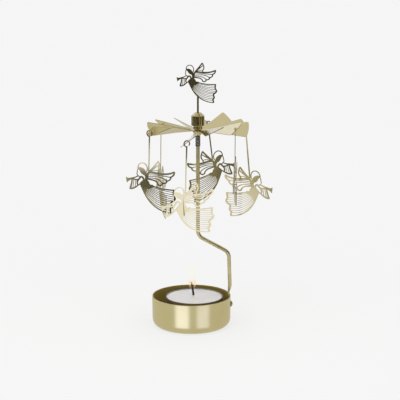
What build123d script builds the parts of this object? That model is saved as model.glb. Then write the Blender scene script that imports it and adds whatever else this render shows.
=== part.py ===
from build123d import *
from math import atan2, cos, radians, sin, sqrt, tan
import os

# All lengths are in millimetres and all angles in degrees.
# The origin is the centre of the dish's flat underside. +Z is up, +X points to the rod's foot.

# Dish
DISH_DIAMETER = 53.2
DISH_HEIGHT = 20.8
DISH_WALL = 0.6
DISH_CORNER = 5.4
DISH_DRAFT = 1.0
RIM_ROUND = 0.22

# Tealight
TEALIGHT_DIAMETER = 38.4
TEALIGHT_HEIGHT = 19.6
TEALIGHT_SHIFT = 2.0
FOIL = 0.35
FOIL_CORNER = 1.6
FOIL_RIM_ROUND = 0.12
WAX_RECESS = 0.5
WAX_CLEARANCE = 0.02
WICK_DIAMETER = 1.5
WICK_STAND = 9.0
WICK_DRIFT_X = -0.7
WICK_DRIFT_Y = 4.5
WICK_BEND = 7.0
WICK_TURN = 10.0
TAB_DIAMETER = 12.0
TAB_THICKNESS = 0.3
TAB_TUBE_HEIGHT = 4.0
TAB_TUBE_WALL = 0.3
WICK_CLEARANCE = 0.03

# Stand rod
ROD_DIAMETER = 2.5
ROD_INSET = 0.6
SPINDLE_OFFSET = 4.4
LOWER_BEND_Z = 50.7
LOWER_BEND_LEAN = 0.8
UPPER_BEND_Z = 62.1
BEND_RADIUS = 6.0
STRAP_THICKNESS = 1.1
STRAP_WIDTH = 4.2
STRAP_TOP_RISE = 2.0
FLATTENING_LENGTH = 4.6
STRAP_TAIL = 3.0
STRAP_CLEARANCE = 0.03
STRAP_ROUND = 0.36

# Foot rivet
RIVET_DROP = 6.1
RIVET_SHANK = 2.2
RIVET_HEAD = 4.7
RIVET_HEAD_HEIGHT = 1.4
RIVET_TAIL = 3.4
RIVET_TAIL_HEIGHT = 0.7
RIVET_CLEARANCE = 0.03

# Sleeve and needle
SLEEVE_DIAMETER = 3.3
SLEEVE_LENGTH = 7.0
SLEEVE_GRIP = 3.6
SLEEVE_CHAMFER = 0.3
NEEDLE_DIAMETER = 1.2
NEEDLE_STAND = 9.3
NEEDLE_POINT = 1.6
NEEDLE_TIP_RADIUS = 0.1
PRESS_CLEARANCE = 0.01
POINT_GAP = 0.1

# Hub
FAN_Z = 134.0
HUB_DIAMETER = 8.8
HUB_NECK_DIAMETER = 6.2
HUB_NECK_HEIGHT = 2.4
HUB_BARREL_HEIGHT = 7.1
HUB_CONE_HEIGHT = 2.0
HUB_TOP_DIAMETER = 4.0
HUB_EDGE = 0.35
TENON_DIAMETER = 4.4
TENON_LENGTH = 1.5
HUB_BORE = 3.0
NUT_TOP_DIAMETER = 7.2
NUT_BOTTOM_DIAMETER = 3.9
NUT_HEIGHT = 3.3
NUT_BORE = 2.1
NUT_LIP = 0.8
PIVOT_CUP_HEIGHT = 2.4
PIVOT_DIMPLE_DEPTH = 1.3
PIVOT_DIMPLE_DIAMETER = 2.2
FIT = 0.02

# Fan wheel, one sheet cut into blades that are twisted by hand, so no two are quite alike
SHEET = 0.4
FAN_DIAMETER = 68.0
FAN_HUB_DIAMETER = 9.6
BLADE_COUNT = 12
BLADE_SPREAD = 25.0
FIRST_BLADE = 19.7
BLADE_NECK = 2.0
NECK_LENGTH = 2.2
BLADE_CORNER = 1.6
BLADE_PITCHES = (38, 42, 38, 35, 36, 36, 35, 24, 38, 22, 27, 34)
BLADE_LIFTS = (0.5, 5, 0, -1.5, 0, 2, 2, 8, -3.5, 9, 9, 3)

# Hanging angels, one to every second blade
HOLE_DIAMETER = 2.2
HOLE_MARGIN = 1.6
RING_DIAMETER = 4.6
RING_BAND = 0.7
RING_GAP = 34.0
RING_GAP_START = 284.0
RING_CLEARANCE = 0.12
STEM_WIDTH = 0.85
SHORT_DROP = 25.4
LONG_DROP = 33.5
FACING_TURNS = (-54, -49, -37, -49, -54, -55)
SWAYS = (6, 8, 4, 2, 1.5, 4)
ANGEL_HEIGHT = 34.5

# Top angel and its rod
TOP_ANGEL_HEIGHT = 26.5
TOP_ANGEL_FACING = 154.0
TOP_ROD_DIAMETER = 1.3
TOP_ROD_STAND = 10.7
TOP_ROD_SEAT = 3.0
SLIT_DEPTH = 2.2
SLIT_CLEARANCE = 0.02
TOP_TAB_WIDTH = 1.04

# One overrun serves every cut
OVERRUN = 1.0

# The figure, drawn facing left in shares of its own height, from its lower left corner
HALO_CENTRE_SHARES = (0.380, 0.818)
HALO_RADIUS_SHARE = 0.104
HALO_LINE_SHARE = 0.019
HALO_START = -50.0
HALO_SPAN = 240.0
STEM_JOIN_SHARES = (0.515, 0.775)
ROD_JOIN_SHARES = (0.60, 0.15)

HAIR_SHARES = ((0.270, 0.808), (0.320, 0.832), (0.385, 0.820), (0.435, 0.785), (0.464, 0.738), (0.508, 0.705),
               (0.510, 0.650), (0.482, 0.590), (0.446, 0.592), (0.440, 0.660), (0.420, 0.685), (0.375, 0.702),
               (0.330, 0.745), (0.288, 0.788))
BODICE_SHARES = ((0.450, 0.608), (0.400, 0.592), (0.360, 0.558), (0.328, 0.512), (0.358, 0.455), (0.393, 0.400),
                 (0.428, 0.345), (0.460, 0.355), (0.490, 0.405), (0.520, 0.450), (0.540, 0.500), (0.540, 0.550),
                 (0.515, 0.582), (0.480, 0.605))
SASH_SHARES = ((0.520, 0.545), (0.565, 0.516), (0.622, 0.524), (0.606, 0.497), (0.650, 0.470), (0.590, 0.462),
               (0.505, 0.430))
HORN_BELL_SHARES = ((0.010, 0.600), (0.060, 0.583), (0.125, 0.602), (0.195, 0.622), (0.200, 0.590), (0.130, 0.562),
                    (0.080, 0.535), (0.034, 0.492))

# Each stroke is a width at its start, a width at its end and the points of its centre line
STROKE_SHARES = {
    "horn_tube": (0.026, 0.018, ((0.185, 0.605), (0.235, 0.628), (0.290, 0.660))),
    "brow": (0.016, 0.016, ((0.283, 0.800), (0.262, 0.755), (0.268, 0.722))),
    "nose": (0.016, 0.016, ((0.267, 0.728), (0.256, 0.702), (0.280, 0.660))),
    "chin": (0.018, 0.022, ((0.280, 0.664), (0.315, 0.642), (0.355, 0.650))),
    "upper_arm": (0.040, 0.032, ((0.415, 0.590), (0.392, 0.632), (0.362, 0.650), (0.322, 0.618), (0.285, 0.580))),
    "forearm": (0.030, 0.020, ((0.290, 0.582), (0.235, 0.576), (0.150, 0.586))),
    "sleeve_cuff": (0.026, 0.036, ((0.152, 0.590), (0.142, 0.500), (0.112, 0.398))),
    "sleeve_hem": (0.034, 0.022, ((0.098, 0.388), (0.170, 0.396), (0.235, 0.430), (0.290, 0.474), (0.345, 0.512))),
    "sleeve_back": (0.034, 0.026, ((0.290, 0.580), (0.268, 0.530), (0.284, 0.470))),
    "sleeve_fold_low": (0.010, 0.010, ((0.188, 0.582), (0.182, 0.490), (0.165, 0.395))),
    "sleeve_fold_high": (0.010, 0.010, ((0.230, 0.576), (0.228, 0.500), (0.215, 0.418))),
    "wing_root": (0.046, 0.030, ((0.480, 0.700), (0.520, 0.752), (0.560, 0.795))),
    "back_wing_front": (0.038, 0.030, ((0.545, 0.785), (0.620, 0.865), (0.680, 0.940), (0.722, 0.995))),
    "back_wing_rear": (0.028, 0.022, ((0.718, 0.992), (0.756, 0.930), (0.764, 0.865), (0.738, 0.812), (0.736, 0.760))),
    "back_wing_vein_high": (0.024, 0.018, ((0.550, 0.785), (0.640, 0.852), (0.752, 0.940))),
    "back_wing_vein_low": (0.016, 0.014, ((0.550, 0.765), (0.650, 0.808), (0.742, 0.814))),
    "front_wing_top": (0.040, 0.034, ((0.500, 0.745), (0.620, 0.762), (0.760, 0.760), (0.920, 0.775), (1.085, 0.835))),
    "front_wing_tip": (0.034, 0.028, ((1.080, 0.838), (1.072, 0.780), (1.035, 0.742), (0.990, 0.722))),
    "front_wing_scallop_1": (0.028, 0.026, ((1.005, 0.732), (1.000, 0.686), (0.965, 0.655), (0.900, 0.640))),
    "front_wing_scallop_2": (0.028, 0.026, ((0.928, 0.655), (0.915, 0.612), (0.875, 0.588), (0.815, 0.590))),
    "front_wing_scallop_3": (0.028, 0.026, ((0.838, 0.598), (0.815, 0.550), (0.770, 0.532), (0.722, 0.560))),
    "front_wing_low": (0.030, 0.024, ((0.490, 0.625), (0.580, 0.620), (0.670, 0.606), (0.735, 0.552))),
    "front_wing_feather_1": (0.013, 0.018, ((0.500, 0.700), (0.640, 0.722), (0.820, 0.728), (1.000, 0.722))),
    "front_wing_feather_2": (0.013, 0.020, ((0.500, 0.668), (0.640, 0.692), (0.800, 0.690), (0.920, 0.642))),
    "front_wing_feather_3": (0.013, 0.020, ((0.500, 0.640), (0.620, 0.655), (0.740, 0.640), (0.830, 0.590))),
    "skirt_top": (0.024, 0.024, ((0.530, 0.520), (0.660, 0.492), (0.800, 0.475), (0.950, 0.474), (1.085, 0.484))),
    "skirt_low": (0.034, 0.020, ((0.345, 0.500), (0.398, 0.404), (0.452, 0.315), (0.515, 0.232), (0.597, 0.156),
                                 (0.698, 0.094), (0.800, 0.055), (0.910, 0.032), (1.028, 0.026))),
}

# The skirt's wavy hem, and the ribs that fan out from the bodice to it
HEM_WIDTH_SHARES = (0.034, 0.038)
HEM_SHARES = ((1.085, 0.492), (1.078, 0.430), (1.084, 0.372), (1.114, 0.325), (1.080, 0.272), (1.036, 0.236),
              (1.032, 0.200), (1.050, 0.164), (1.035, 0.126), (1.015, 0.096), (1.028, 0.060), (1.022, 0.026))
RIB_COUNT = 10
RIB_WIDTH_SHARES = (0.012, 0.012)
RIB_STARTS_SHARES = ((0.560, 0.478), (0.505, 0.410), (0.436, 0.340))
RIB_FIRST_END = 0.10
RIB_LAST_END = 0.88
RIB_LEAST_SAG_SHARE = 0.012
RIB_GREATEST_SAG_SHARE = 0.092
STROKE_SAMPLES = 7
HEM_SAMPLES = 24

# Places worked out from the sizes above
dish_radius = DISH_DIAMETER / 2
strap_bottom_z = DISH_HEIGHT - RIVET_DROP - STRAP_TAIL
rivet_z = DISH_HEIGHT - RIVET_DROP
rod_radius = ROD_DIAMETER / 2
sleeve_top_z = FAN_Z - NUT_HEIGHT - NUT_LIP / 2
sleeve_bottom_z = sleeve_top_z - SLEEVE_LENGTH
rod_top_z = sleeve_bottom_z + SLEEVE_GRIP
needle_tip_z = sleeve_top_z + NEEDLE_STAND
hub_bottom_z = FAN_Z + SHEET
hub_barrel_z = hub_bottom_z + HUB_NECK_HEIGHT
hub_cone_z = hub_barrel_z + HUB_BARREL_HEIGHT
hub_top_z = hub_cone_z + HUB_CONE_HEIGHT
fan_middle_z = FAN_Z + SHEET / 2
tealight_seat_z = DISH_WALL
tealight_radius = TEALIGHT_DIAMETER / 2
top_rod_end_z = hub_top_z + TOP_ROD_STAND


def wall_radius(z, inset):
    """Radius of the dish's sloping wall at a height, that far in from its outer face."""
    return dish_radius - inset - (DISH_HEIGHT - z) * tan(radians(DISH_DRAFT))


def revolve_outline(*edges):
    """A turned piece from a closed outline drawn in the XZ plane."""
    return revolve(make_face(Curve() + list(edges)), Axis.Z)


def turned(points):
    """A turned piece from straight runs between (radius, height) points."""
    return revolve(make_face(Polyline(*[(r, 0, z) for r, z in points], close=True)), Axis.Z)


def at_spindle(piece):
    """Moves a piece that was turned about Z onto the spindle's axis."""
    return Pos(SPINDLE_OFFSET, 0, 0) * piece


def shell_outline(radius_low, radius_top, corner, bottom, top, slope):
    """One side of a drawn cup: base, rounded corner and sloping wall, as edges and their end point."""
    turn = radians(90 - slope)
    centre = (radius_low - corner, bottom + corner)
    end = (centre[0] + corner * sin(turn), centre[1] - corner * cos(turn))
    middle = (centre[0] + corner * sin(turn / 2), centre[1] - corner * cos(turn / 2))
    base = Line((0, 0, bottom), (centre[0], 0, bottom))
    arc = ThreePointArc((centre[0], 0, bottom), (middle[0], 0, middle[1]), (end[0], 0, end[1]))
    wall = Line((end[0], 0, end[1]), (radius_top, 0, top))
    return [base, arc, wall]


def drawn_cup(radius_top, height, wall, corner, slope, bottom, rim_round):
    """A cup drawn from sheet, its wall square to the base or sloping a little outward."""
    reach = (height - corner) * tan(radians(slope)) + corner * (1 / cos(radians(slope)) - 1)
    radius_low = radius_top - reach
    top = bottom + height
    outer = shell_outline(radius_low, radius_top, corner, bottom, top, slope)
    inner = shell_outline(radius_low - wall, radius_top - wall, corner - wall, bottom + wall, top, slope)
    rim = Line((radius_top, 0, top), (radius_top - wall, 0, top))
    centre = Line((0, 0, bottom), (0, 0, bottom + wall))
    cup = revolve_outline(*outer, rim, *inner, centre)
    edges = [e for e in cup.edges().filter_by(GeomType.CIRCLE) if abs(e.center().Z - top) < wall / 4]
    return fillet(edges, rim_round)


def make_cup_dish():
    dish = drawn_cup(dish_radius, DISH_HEIGHT, DISH_WALL, DISH_CORNER, DISH_DRAFT, 0, RIM_ROUND)
    hole = Cylinder(RIVET_SHANK / 2 + RIVET_CLEARANCE, DISH_CORNER, rotation=(0, 90, 0))
    return dish - Pos(dish_radius, 0, rivet_z) * hole


def strap_face_x():
    """The strap's outer face, clear of the curved wall at its own lower end."""
    inner = wall_radius(strap_bottom_z, DISH_WALL)
    sagitta = inner - sqrt(inner**2 - (STRAP_WIDTH / 2)**2)
    return inner - sagitta - STRAP_CLEARANCE


def make_stand_rod():
    foot_x = dish_radius - ROD_INSET
    strap_top_z = DISH_HEIGHT + STRAP_TOP_RISE
    foot_z = strap_top_z + FLATTENING_LENGTH
    strap_x = strap_face_x() - STRAP_THICKNESS / 2
    points = [(foot_x, 0, foot_z), (foot_x - LOWER_BEND_LEAN, 0, LOWER_BEND_Z),
              (SPINDLE_OFFSET, 0, UPPER_BEND_Z), (SPINDLE_OFFSET, 0, rod_top_z)]
    path = FilletPolyline(*points, radius=BEND_RADIUS)
    start = Plane(origin=path @ 0, z_dir=path % 0)
    wire = sweep(start * Circle(rod_radius), path=path)
    flat_end = Plane(origin=(strap_x, 0, strap_top_z)) * Rectangle(STRAP_THICKNESS, STRAP_WIDTH)
    flat_end = fillet(flat_end.vertices(), STRAP_ROUND)
    flattening = loft([start * Circle(rod_radius), flat_end])
    strap = extrude(flat_end, amount=strap_bottom_z - strap_top_z)
    side = Plane(origin=(strap_x, 0, strap_bottom_z), z_dir=(1, 0, 0), x_dir=(0, 1, 0))
    tail_radius = STRAP_WIDTH / 2
    keep = Rectangle(STRAP_WIDTH + OVERRUN, strap_top_z - strap_bottom_z - tail_radius,
                     align=(Align.CENTER, Align.MIN))
    keep = Pos(0, tail_radius) * keep + Pos(0, tail_radius) * Circle(tail_radius)
    strap = strap & extrude(side * keep, amount=STRAP_THICKNESS, both=True)
    bore = Cylinder(RIVET_SHANK / 2 + RIVET_CLEARANCE, DISH_CORNER, rotation=(0, 90, 0))
    return wire + flattening + strap - Pos(strap_x, 0, rivet_z) * bore


def dome(diameter, height):
    """A rivet's domed head that stands on the XY plane."""
    sphere = ((diameter / 2)**2 + height**2) / (2 * height)
    edge = (diameter / 2, 0, 0)
    crown = (0, 0, height)
    half = atan2(diameter / 2, sphere - height) / 2
    middle = (sphere * sin(half), 0, sphere * cos(half) + height - sphere)
    return revolve_outline(Line((0, 0, 0), edge), ThreePointArc(edge, middle, crown), Line(crown, (0, 0, 0)))


def make_foot_rivet():
    outer_x = wall_radius(rivet_z - RIVET_HEAD / 2, 0)
    outer_x = max(outer_x, wall_radius(rivet_z, 0)) + RIVET_CLEARANCE
    inner_x = strap_face_x() - STRAP_THICKNESS - RIVET_CLEARANCE
    shank = Cylinder(RIVET_SHANK / 2, outer_x - inner_x, align=(Align.CENTER, Align.CENTER, Align.MIN))
    head = Pos(0, 0, outer_x - inner_x) * dome(RIVET_HEAD, RIVET_HEAD_HEIGHT)
    tail = Rot(180, 0, 0) * dome(RIVET_TAIL, RIVET_TAIL_HEIGHT)
    return Pos(inner_x, 0, rivet_z) * (Rot(0, 90, 0) * (shank + head + tail))


def make_needle_sleeve():
    sleeve = Cylinder(SLEEVE_DIAMETER / 2, SLEEVE_LENGTH, align=(Align.CENTER, Align.CENTER, Align.MIN))
    rod_bore = Cylinder(rod_radius + PRESS_CLEARANCE, SLEEVE_GRIP + OVERRUN,
                        align=(Align.CENTER, Align.CENTER, Align.MIN))
    needle_bore = Cylinder(NEEDLE_DIAMETER / 2 + PRESS_CLEARANCE, SLEEVE_LENGTH + OVERRUN,
                           align=(Align.CENTER, Align.CENTER, Align.MIN))
    sleeve -= Pos(0, 0, -OVERRUN) * rod_bore
    sleeve -= needle_bore
    top = sleeve.edges().filter_by(GeomType.CIRCLE).sort_by(Axis.Z)[-2:].sort_by(SortBy.RADIUS)[-1]
    return at_spindle(Pos(0, 0, sleeve_bottom_z) * chamfer(top, SLEEVE_CHAMFER))


def make_needle_pin():
    radius = NEEDLE_DIAMETER / 2
    foot_z = rod_top_z + PRESS_CLEARANCE
    return at_spindle(turned([(0, foot_z), (radius, foot_z), (radius, needle_tip_z - NEEDLE_POINT),
                              (NEEDLE_TIP_RADIUS, needle_tip_z), (0, needle_tip_z)]))


def pivot_cup_z():
    """Underside of the pivot cup, set so that its dimple clears the needle's tip."""
    return needle_tip_z + POINT_GAP - PIVOT_DIMPLE_DEPTH


def make_hub_cap():
    tenon = TENON_DIAMETER / 2
    bore = HUB_BORE / 2
    bore_top = pivot_cup_z() + PIVOT_CUP_HEIGHT + FIT
    cap = turned([(bore, hub_bottom_z - SHEET - TENON_LENGTH), (tenon, hub_bottom_z - SHEET - TENON_LENGTH),
                  (tenon, hub_bottom_z), (HUB_NECK_DIAMETER / 2, hub_bottom_z),
                  (HUB_NECK_DIAMETER / 2, hub_barrel_z - HUB_EDGE),
                  (HUB_DIAMETER / 2 - HUB_EDGE, hub_barrel_z), (HUB_DIAMETER / 2, hub_barrel_z + HUB_EDGE),
                  (HUB_DIAMETER / 2, hub_cone_z), (HUB_TOP_DIAMETER / 2, hub_top_z), (0, hub_top_z),
                  (0, bore_top), (bore, bore_top)])
    seat = Cylinder(TOP_ROD_DIAMETER / 2 + PRESS_CLEARANCE, TOP_ROD_SEAT + OVERRUN,
                    align=(Align.CENTER, Align.CENTER, Align.MIN))
    return at_spindle(cap - Pos(0, 0, hub_top_z - TOP_ROD_SEAT) * seat)


def make_pivot_cup():
    radius = HUB_BORE / 2 - PRESS_CLEARANCE
    z = pivot_cup_z()
    return at_spindle(turned([(PIVOT_DIMPLE_DIAMETER / 2, z), (radius, z), (radius, z + PIVOT_CUP_HEIGHT),
                              (0, z + PIVOT_CUP_HEIGHT), (0, z + PIVOT_DIMPLE_DEPTH)]))


def make_hub_nut():
    bottom = FAN_Z - NUT_HEIGHT
    pocket = FAN_Z - TENON_LENGTH - FIT
    return at_spindle(turned([(NUT_BORE / 2, bottom), (NUT_BOTTOM_DIAMETER / 2, bottom),
                              (NUT_TOP_DIAMETER / 2, FAN_Z - NUT_LIP), (NUT_TOP_DIAMETER / 2, FAN_Z),
                              (TENON_DIAMETER / 2 + FIT, FAN_Z), (TENON_DIAMETER / 2 + FIT, pocket),
                              (NUT_BORE / 2, pocket)]))


def blade_angle(index):
    """Direction of a blade's middle line, seen from above."""
    return FIRST_BLADE + index * 360 / BLADE_COUNT


def blade_frame(index, pitch_part=1, along=0):
    """Frame of a blade: its X runs outward, and its far side in turning order is raised."""
    root = FAN_HUB_DIAMETER / 2
    spindle = Location((SPINDLE_OFFSET, 0, fan_middle_z), (0, 0, blade_angle(index)))
    lifted = Location((root, 0, 0), (0, -BLADE_LIFTS[index] * pitch_part, 0))
    pitched = Location((along, 0, 0), (BLADE_PITCHES[index] * pitch_part, 0, 0))
    return spindle * lifted * pitched


def blade_outline():
    """Flat outline of one blade beyond its neck, from the root of the neck outward."""
    root = FAN_HUB_DIAMETER / 2
    outer = FAN_DIAMETER / 2
    half = radians(BLADE_SPREAD / 2)
    corner = (outer * cos(half) - root, outer * sin(half))
    neck = (NECK_LENGTH, BLADE_NECK / 2)
    edges = [Line((neck[0], -neck[1]), (corner[0], -corner[1])),
             ThreePointArc((corner[0], -corner[1]), (outer - root, 0), corner),
             Line(corner, neck), Line(neck, (neck[0], -neck[1]))]
    face = make_face(Curve() + edges)
    tips = face.vertices().sort_by(Axis.X)[-2:]
    return fillet(tips, BLADE_CORNER)


def hook_reach():
    """Distance from the neck's root to the middle of the hole that takes a ring."""
    return FAN_DIAMETER / 2 - FAN_HUB_DIAMETER / 2 - HOLE_MARGIN


def make_blade(index):
    plate = extrude(blade_outline(), amount=SHEET / 2, both=True)
    if index % 2 == 0:
        plate -= Pos(hook_reach(), 0, 0) * Cylinder(HOLE_DIAMETER / 2, OVERRUN)
    section = Rot(0, 90, 0) * Rectangle(SHEET, BLADE_NECK)
    neck = loft([blade_frame(index, part, NECK_LENGTH * part) * section for part in (0, 1 / 2, 1)])
    return blade_frame(index) * plate + neck


def make_fan_wheel():
    hub = RegularPolygon(FAN_HUB_DIAMETER / 2, BLADE_COUNT, major_radius=False)
    hub = Rot(0, 0, FIRST_BLADE + 180 / BLADE_COUNT) * hub - Circle(TENON_DIAMETER / 2 + FIT)
    fan = Pos(SPINDLE_OFFSET, 0, fan_middle_z) * extrude(hub, amount=SHEET / 2, both=True)
    for index in range(BLADE_COUNT):
        fan += make_blade(index)
    return fan


def scaled(point, size):
    return (point[0] * size, point[1] * size)


def blend_points(points, part):
    """A point part of the way along three points, on the curve through all of them."""
    first, middle, last = points
    a = (1 - part) * (1 - 2 * part)
    b = 4 * part * (1 - part)
    c = part * (2 * part - 1)
    return (a * first[0] + b * middle[0] + c * last[0], a * first[1] + b * middle[1] + c * last[1])


def stroke(points, start_width, end_width, samples=STROKE_SAMPLES):
    """A drawn line of the figure: a smooth centre line, widened to both sides."""
    centre = Spline(*points)
    left, right = [], []
    for step in range(samples):
        part = step / (samples - 1)
        spot = centre @ part
        along = centre % part
        reach = (start_width + (end_width - start_width) * part) / 2
        left.append((spot.X - along.Y * reach, spot.Y + along.X * reach))
        right.append((spot.X + along.Y * reach, spot.Y - along.X * reach))
    sides = [Spline(*left), Line(left[-1], right[-1]), Spline(*right), Line(left[0], right[0])]
    return make_face(Curve() + sides)


def solid_area(shares, size):
    """A filled area of the figure with a smooth closed outline."""
    return make_face(Spline(*[scaled(p, size) for p in shares], periodic=True))


def rib_shares(index):
    """Start, middle and end of a skirt rib. It ends on the hem and sags on its way there, most at the low edge."""
    part = index / (RIB_COUNT - 1)
    start = blend_points(RIB_STARTS_SHARES, part)
    end = Spline(*HEM_SHARES) @ (RIB_FIRST_END + (RIB_LAST_END - RIB_FIRST_END) * part)
    sag = RIB_LEAST_SAG_SHARE + (RIB_GREATEST_SAG_SHARE - RIB_LEAST_SAG_SHARE) * part
    return (start, ((start[0] + end.X) / 2, (start[1] + end.Y) / 2 - sag), (end.X, end.Y))


def halo(size):
    """The halo, an arc from the shoulder over the head to the hair's front end."""
    middle = HALO_RADIUS_SHARE * size
    half = HALO_LINE_SHARE * size / 2
    outer = CenterArc((0, 0), middle + half, HALO_START, HALO_SPAN)
    inner = CenterArc((0, 0), middle - half, HALO_START, HALO_SPAN)
    band = Curve() + [outer, Line(outer @ 1, inner @ 1), inner, Line(inner @ 0, outer @ 0)]
    return Pos(*scaled(HALO_CENTRE_SHARES, size)) * make_face(band)


def figure(size):
    """The flat angel with its horn, as one outline with openings, from its lower left corner."""
    faces = [solid_area(HAIR_SHARES, size), solid_area(BODICE_SHARES, size), solid_area(SASH_SHARES, size)]
    faces.append(make_face(Polyline(*[scaled(p, size) for p in HORN_BELL_SHARES], close=True)))
    for start_width, end_width, shares in STROKE_SHARES.values():
        faces.append(stroke([scaled(p, size) for p in shares], start_width * size, end_width * size))
    hem = [scaled(p, size) for p in HEM_SHARES]
    faces.append(stroke(hem, *scaled(HEM_WIDTH_SHARES, size), HEM_SAMPLES))
    for index in range(RIB_COUNT):
        line = [scaled(p, size) for p in rib_shares(index)]
        faces.append(stroke(line, *scaled(RIB_WIDTH_SHARES, size)))
    return halo(size) + faces


def open_ring():
    """The hook: a ring with a gap beside the stem."""
    outer = RING_DIAMETER / 2
    ring = Circle(outer) - Circle(outer - RING_BAND)
    reach = outer + OVERRUN
    low = radians(RING_GAP_START)
    high = radians(RING_GAP_START + RING_GAP)
    wedge = Polyline((0, 0), (reach * cos(low), reach * sin(low)), (reach * cos(high), reach * sin(high)), close=True)
    return ring - make_face(wedge)


def hanger(drop):
    """Flat outline of one hanging angel, from the middle of its ring."""
    join = scaled(STEM_JOIN_SHARES, ANGEL_HEIGHT)
    ring_bottom = RING_DIAMETER / 2 - RING_BAND / 2
    stem = Pos(0, -ring_bottom) * Rectangle(STEM_WIDTH, drop - ring_bottom, align=(Align.CENTER, Align.MAX))
    return open_ring() + stem + Pos(-join[0], -drop - join[1]) * figure(ANGEL_HEIGHT)


def upright(origin, facing, sway=0):
    """Frame of a flat figure that stands upright and faces a direction, its own X towards its back."""
    back = (-cos(radians(facing)), -sin(radians(facing)), 0)
    normal = Vector(*back).cross(Vector(0, 0, 1))
    return Plane(origin=origin, x_dir=back, z_dir=normal).location * Rot(0, 0, -sway)


def facing_angle(index):
    """Direction that a hanging angel faces, seen from above."""
    return blade_angle(2 * index) + FACING_TURNS[index]


def hook_place(index):
    """Where an angel's ring hangs: the middle of the web that carries it, and the ring's own middle."""
    blade = blade_frame(2 * index)
    hole = (blade * Location((hook_reach(), 0, 0))).position
    facing = radians(facing_angle(index))
    forward = Vector(cos(facing), sin(facing), 0)
    across = Vector(0, 0, 1).cross(forward)
    frame = Plane(blade)
    along = frame.z_dir.cross(across).normalized()
    if along.dot(forward) < 0:
        along = along * -1
    slant = along.dot(frame.x_dir)
    web_start = HOLE_DIAMETER / 2
    web_end = HOLE_MARGIN / slant
    web_middle = hole + along * ((web_start + web_end) / 2)
    up = along.cross(across)
    if up.Z < 0:
        up = up * -1
    half_length = (web_end - web_start) / 2 + SHEET / 2 * sqrt(1 - slant**2) / slant
    half_thickness = SHEET / 2 / abs(frame.z_dir.dot(up))
    inner = RING_DIAMETER / 2 - RING_BAND - RING_CLEARANCE
    fall = sqrt(inner**2 - half_length**2) - half_thickness
    return web_middle, web_middle - up * fall


def make_hanging_angel(index, outlines):
    _, middle = hook_place(index)
    outline = outlines["short"] if index % 2 else outlines["long"]
    return upright(middle, facing_angle(index), SWAYS[index]) * extrude(outline, amount=SHEET / 2, both=True)


def make_top_rod():
    length = TOP_ROD_SEAT + TOP_ROD_STAND
    rod = Cylinder(TOP_ROD_DIAMETER / 2, length, align=(Align.CENTER, Align.CENTER, Align.MAX))
    slit = Box(TOP_ROD_DIAMETER + OVERRUN, SHEET + 2 * SLIT_CLEARANCE, SLIT_DEPTH + SLIT_CLEARANCE,
               align=(Align.CENTER, Align.CENTER, Align.MAX))
    return at_spindle(Location((0, 0, top_rod_end_z), (0, 0, TOP_ANGEL_FACING)) * (rod - slit))


def make_top_angel():
    join = scaled(ROD_JOIN_SHARES, TOP_ANGEL_HEIGHT)
    tab = Rectangle(TOP_TAB_WIDTH, SLIT_DEPTH + TOP_ROD_DIAMETER / 2, align=(Align.CENTER, Align.MIN))
    outline = Pos(-join[0], -join[1]) * figure(TOP_ANGEL_HEIGHT) + Pos(0, -SLIT_DEPTH) * tab
    place = upright((SPINDLE_OFFSET, 0, top_rod_end_z), TOP_ANGEL_FACING)
    return place * extrude(outline, amount=SHEET / 2, both=True)


def at_tealight(piece):
    """Moves a piece that was made about Z onto the tealight's place on the dish's floor."""
    return Pos(TEALIGHT_SHIFT, 0, tealight_seat_z) * piece


def at_wick(piece):
    """Moves a piece that was made about Z onto the wick's place, where its tab has drifted to."""
    return at_tealight(Pos(WICK_DRIFT_X, WICK_DRIFT_Y, 0) * piece)


def make_tealight_cup():
    return at_tealight(drawn_cup(tealight_radius, TEALIGHT_HEIGHT, FOIL, FOIL_CORNER, 0, 0, FOIL_RIM_ROUND))


def make_wick_sustainer():
    tube_inner = WICK_DIAMETER / 2 + WICK_CLEARANCE
    tube_outer = tube_inner + TAB_TUBE_WALL
    floor = FOIL
    return at_wick(turned([(0, floor), (TAB_DIAMETER / 2, floor), (TAB_DIAMETER / 2, floor + TAB_THICKNESS),
                            (tube_outer, floor + TAB_THICKNESS), (tube_outer, floor + TAB_TUBE_HEIGHT),
                            (tube_inner, floor + TAB_TUBE_HEIGHT), (tube_inner, floor + TAB_THICKNESS),
                            (0, floor + TAB_THICKNESS)]))


def make_wax():
    height = TEALIGHT_HEIGHT - WAX_RECESS - FOIL
    radius = tealight_radius - FOIL - WAX_CLEARANCE
    wax = Cylinder(radius, height, align=(Align.CENTER, Align.CENTER, Align.MIN))
    wax = fillet(wax.edges().sort_by(Axis.Z)[0], FOIL_CORNER - FOIL)
    tab = Cylinder(TAB_DIAMETER / 2 + WAX_CLEARANCE, TAB_THICKNESS + WAX_CLEARANCE,
                   align=(Align.CENTER, Align.CENTER, Align.MIN))
    tube_radius = WICK_DIAMETER / 2 + WICK_CLEARANCE + TAB_TUBE_WALL + WAX_CLEARANCE
    tube = Cylinder(tube_radius, TAB_TUBE_HEIGHT + WAX_CLEARANCE, align=(Align.CENTER, Align.CENTER, Align.MIN))
    bore = Cylinder(WICK_DIAMETER / 2 + WICK_CLEARANCE, height + OVERRUN,
                    align=(Align.CENTER, Align.CENTER, Align.MIN))
    lifted = Pos(0, 0, FOIL + WAX_CLEARANCE)
    return at_tealight(lifted * wax) - at_wick(lifted * (tab + tube + bore))


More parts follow.
